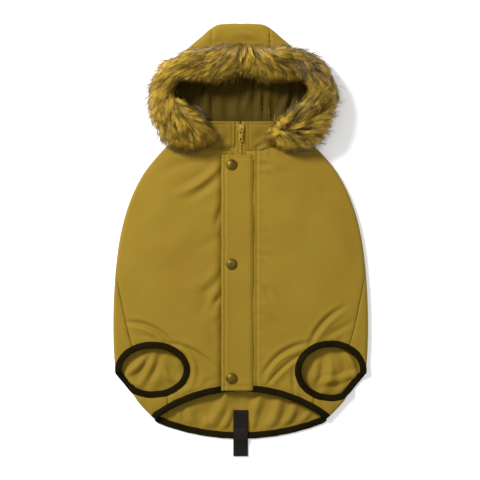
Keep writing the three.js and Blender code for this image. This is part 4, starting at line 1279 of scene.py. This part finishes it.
def hairMesh(name, points, radii, along, tone, material):
    # points is hairs x 4 x 3, each hair a three-sided spike
    count = len(points)
    run = np.gradient(points, axis=1)
    sideways = spots(-run[..., 1], run[..., 0], 0)
    sideways /= np.maximum(np.linalg.norm(sideways, axis=-1, keepdims=True), 1e-6)
    up = np.cross(unit(run), sideways)
    rings = np.stack([
        points + radii[:, :, None] * (math.cos(turn) * sideways + math.sin(turn) * up)
        for turn in (math.pi / 2, math.pi * 7 / 6, math.pi * 11 / 6)
    ], 2)
    corners = np.concatenate([rings[:, :3].reshape(count, 9, 3), points[:, 3:4]], 1)
    faces = []
    for ring in (0, 3):
        for k in range(3):
            a, b = ring + k, ring + (k + 1) % 3
            faces += [(a, b, b + 3), (a, b + 3, a + 3)]
    faces += [(6, 7, 9), (7, 8, 9), (8, 6, 9)]
    triangles = (np.array(faces)[None] + 10 * np.arange(count)[:, None, None]).reshape(-1, 3)
    mesh = trianglesMesh(name, corners.reshape(-1, 3), triangles)
    giveValues(mesh, {"along": np.repeat(along, [3, 3, 3, 1], axis=1).ravel(), "tone": np.repeat(tone, 10)})
    pieceFrom(name, mesh, material, nodes=["fur_trim"])


def evenSpots(count, random, inner=0.86):
    # spots spread evenly over the trim
    wide = furLine["inner"] + furLine["outer"]
    span = np.cumsum(wide)
    k = np.arange(count) + random.uniform(0, 1)
    share, across = np.mod(k * 0.7548776662, 1), np.mod(k * 0.5698402910, 1)  # steps that never bunch up
    at = np.searchsorted(span, share * span[-1]).clip(0, len(span) - 1)
    off = (wide[at] * across - furLine["inner"][at]) * inner
    return furLine["middle"][at] + furLine["out"][at] * off[:, None] + random.normal(0, 0.8, (count, 2))


def reachWithin(root, turn, length, limit):
    # how much of its length a tuft may have before it passes the outline
    share = np.full(len(root), 0.22)
    inside = np.full(len(root), True)
    for t in np.linspace(0.3, 1, 9):
        inside &= furPlace(root + heading(turn) * (length * t)[:, None])[2] <= limit
        share = np.where(inside, t, share)
    return share


def tuftPlaces(random):
    # where each tuft starts, which way it lies, its length and bend, and how much the combing agrees there
    count = fur["tufts"]
    root = evenSpots(count, random)
    turn, agreed = combAt(root)
    turn = turn + random.normal(0, 0.12, count) + random.normal(0, 0.5, count) * (1 - agreed)
    across = furPlace(root)[1]
    length = fur["length"] * random.uniform(0.75, 1.2, count) * (1 - 0.25 * smooth(0.5, 0.9, across))
    length = length * (0.6 + 0.4 * agreed)
    root = root - heading(turn) * (0.35 * length * (1 - agreed))[:, None]
    share = reachWithin(root, turn, length, random.uniform(0.86, 1.06, count))
    short = np.maximum(0.62 - share, 0)
    root = root - heading(turn) * (short * length)[:, None]
    return root, turn, length * (share + short), random.normal(0, 0.13, count), across, agreed


def tuftTonesWithPaintedLight(root, across, random):
    # each tuft's tone at random, with painted light and shade: brighter at the left where the lamp falls,
    # brighter along the trim's borders as a painted highlight, darker over the top right of x -40 as painted
    # shade, brighter in the lower lobes, and with more contrast in the lobes
    x, y = root.T
    bright = random.uniform(0.15, 1.1, len(root)) + 0.2 * smooth(0.45, 0.9, np.abs(across))
    bright = bright + 0.3 * (1 - smooth(-100, -60, x)) - 0.24 * smooth(-70, -40, x) * smooth(196, 212, y)
    bright = bright + 0.14 * (1 - smooth(150, 185, y))
    return (0.6 + (bright - 0.6) * (1.5 - 0.5 * smooth(160, 190, y))).clip(0, 1.2)


def furTufts():
    random = np.random.default_rng(fur["seed"])
    root, turn, length, bend, across, agreed = tuftPlaces(random)
    count, hairs = len(root), fur["hairs"]
    each = (count, hairs)
    level = random.uniform(-0.13, 0.11, count) * (1.7 - 0.7 * smooth(165, 195, root[:, 1]))
    level = 0.97 + level + 0.06 * (1 - agreed)
    bright = tuftTonesWithPaintedLight(root, across, random)

    spread = np.sqrt(random.uniform(0, 1, each)) * fur["tuftRadius"]
    place = random.uniform(0, 2 * math.pi, each)
    loose = random.uniform(0, 1, each) < fur["loose"]
    clump = np.where(loose, 0.1, fur["clump"]) * random.uniform(0.8, 1.1, each)
    farther = 0.9 + 0.2 * smooth(-0.5, 0, across)
    reach = length[:, None] * random.uniform(0.72, 1.05, each) * np.where(loose, farther[:, None], 1)
    own = turn[:, None] + random.normal(0, 0.07, each)
    own = own + np.where(loose, random.normal(0, 0.35, each), 0)
    away = (heading(place) * spread[..., None])[:, :, None, :]
    start = root[:, None, None, :] + away * (1 - clump[..., None] * hairSteps**1.3)[..., None]
    xy = hairCurve(start, own, reach, bend[:, None], 0.6)
    lift = np.array(fur["levels"]) * level[:, None, None] + random.normal(0, 0.022, (*each, 1))
    outer = (spread / fur["tuftRadius"]) ** 2  # a lock is round, and its side hairs sink lower and are painted darker as shade
    strand = np.sin(fur["strands"] * place + random.uniform(0, 6.28, (count, 1)))
    sunk = 1.9 * outer + 0.9 * (1 - strand) + np.where(loose, 1, 0)
    points = furPoints(xy, lift, sunk[..., None] * np.array([0, 1, 0.8, 0])).reshape(-1, 4, 3)
    # hairs that sink lower, at a lock's sides, in its low strands and when loose, are painted darker: painted
    # shade between the locks
    tone = bright[:, None] - 0.34 * outer + 0.4 * strand + random.normal(0, 0.17, each)
    tone = (tone - np.where(loose, 0.25, 0)).clip(0, 1).ravel()
    radii = fur["hairRadius"] * random.uniform(0.75, 1.15, (count * hairs, 1)) * np.array(fur["taper"])
    bare = np.maximum(1 - agreed, smooth(0.55, 0.85, np.abs(across)))  # roots painted lighter where they show, as the ramp's dark root end is painted shade under the tufts
    along = np.repeat(hairSteps + 0.34 * bare[:, None] * (1 - hairSteps), hairs, axis=0)

    tip = points[:, 3]
    overCorner = (furPlace(tip[:, :2])[1] < -1) & (np.abs(tip[:, 0]) > 42) & (tip[:, 1] > 172)
    part = np.repeat(np.digitize(root[:, 0], [-62, 0, 62]), hairs)
    for k, side in enumerate(("far_left", "left", "right", "far_right")):
        kept = (part == k) & ~overCorner  # the opening's corners stay clear
        hairMesh("fur_" + side, points[kept], radii[kept], along[kept], tone[kept], furGold)


def guardHairs():
    # long thin pale hairs, mostly along the inner edge, the lower lobes and the top line
    random = np.random.default_rng(fur["seed"] + 1)
    root = evenSpots(fur["guardSpots"], random, 0.98)
    x, y = root.T
    across = furPlace(root)[1]
    # the chance that a spot keeps its hair
    want = 0.01 + smooth(-0.55, -0.9, across) * (y < 178) * np.where(x > 0, 0.35, 1) + 0.4 * (y < 124)
    want = want + 0.35 * smooth(0.8, 0.95, across) * ((y > 240) | (np.abs(x) > 75))
    want = want + 0.2 * (x > 66) * (y > 225)
    root = root[random.uniform(0, 1, len(root)) < want]
    count = len(root)
    turn = combAt(root)[0] + random.normal(0, 0.3, count)
    length = random.uniform(14, 27, count)
    length = length * reachWithin(root, turn, length, 1.05 + random.uniform(0, 0.2, count))
    xy = hairCurve(root[:, None, :], turn, length, random.normal(0, 0.12, count), 0)
    lift = np.array(fur["guardLevels"]) + random.normal(0, 0.03, (count, 1))
    radii = fur["guardRadius"] * random.uniform(0.8, 1.2, (count, 1)) * np.array(fur["guardTaper"])
    tone = np.clip(random.normal(0.6, 0.25, count), 0, 1)
    along = np.tile(hairSteps, (count, 1))
    hairMesh("fur_guard_hairs", furPoints(xy, lift, -0.5), radii, along, tone, furPale)


def furPile():
    # the short dense pile at the roots, coloured dark brown as painted shade in the gaps between tufts
    count = fur["pileStations"]
    at = np.linspace(0, len(furLine["base"]) - 1, count).astype(int)
    a = np.radians(np.linspace(0, 180, fur["pileAround"]))
    fromEnd = np.minimum(np.arange(count), count - 1 - np.arange(count))
    full = fur["pile"] * np.sqrt(np.clip(fromEnd / 7, 0.02, 1))[:, None]
    off = np.where(np.cos(a) > 0, furLine["outer"][at][:, None], furLine["inner"][at][:, None])
    off = off * 1.25 * full * np.cos(a)
    x, y = (furLine["middle"][at][:, None, :] + furLine["out"][at][:, None, :] * off[..., None]).T
    lumps = 1 + 0.12 * undulation(x, y, 71, 16)
    z = furLine["base"][at] + furLine["high"][at] * full.T * np.sin(a)[:, None] ** 0.8 * lumps
    mesh = meshFrom("fur_pile", *tubeParts(spots(x.T, y.T, z.T)[:, ::-1]))
    giveValues(mesh, {"along": np.full(len(mesh.vertices), 0.26), "tone": np.full(len(mesh.vertices), 0.45)})
    pieceFrom("fur_pile", mesh, furGold, nodes=["fur_trim"])


furPile()
furTufts()
guardHairs()
print("fur combed and sewn round the opening")

# the table
table = {"tone": 0.9, "glow": 0.3, "reach": 7}  # metres
tableTop, _, tableShader = newMaterial("pale table")
fill(tableShader, {
    "Base Color": (table["tone"], table["tone"], table["tone"], 1), "Roughness": 0.9,
    "Specular IOR Level": 0.1, "Emission Color": (1, 1, 1, 1), "Emission Strength": table["glow"],
})
reach = table["reach"]
corners = [(-reach, -reach, 0), (reach, -reach, 0), (reach, reach, 0), (-reach, reach, 0)]
floor = placed("floor", bpy.data.meshes.new("floor"))
floor.data.from_pydata(corners, [], [(0, 1, 2, 3)])
floor.data.materials.append(tableTop)

print("the whole coat is ready")
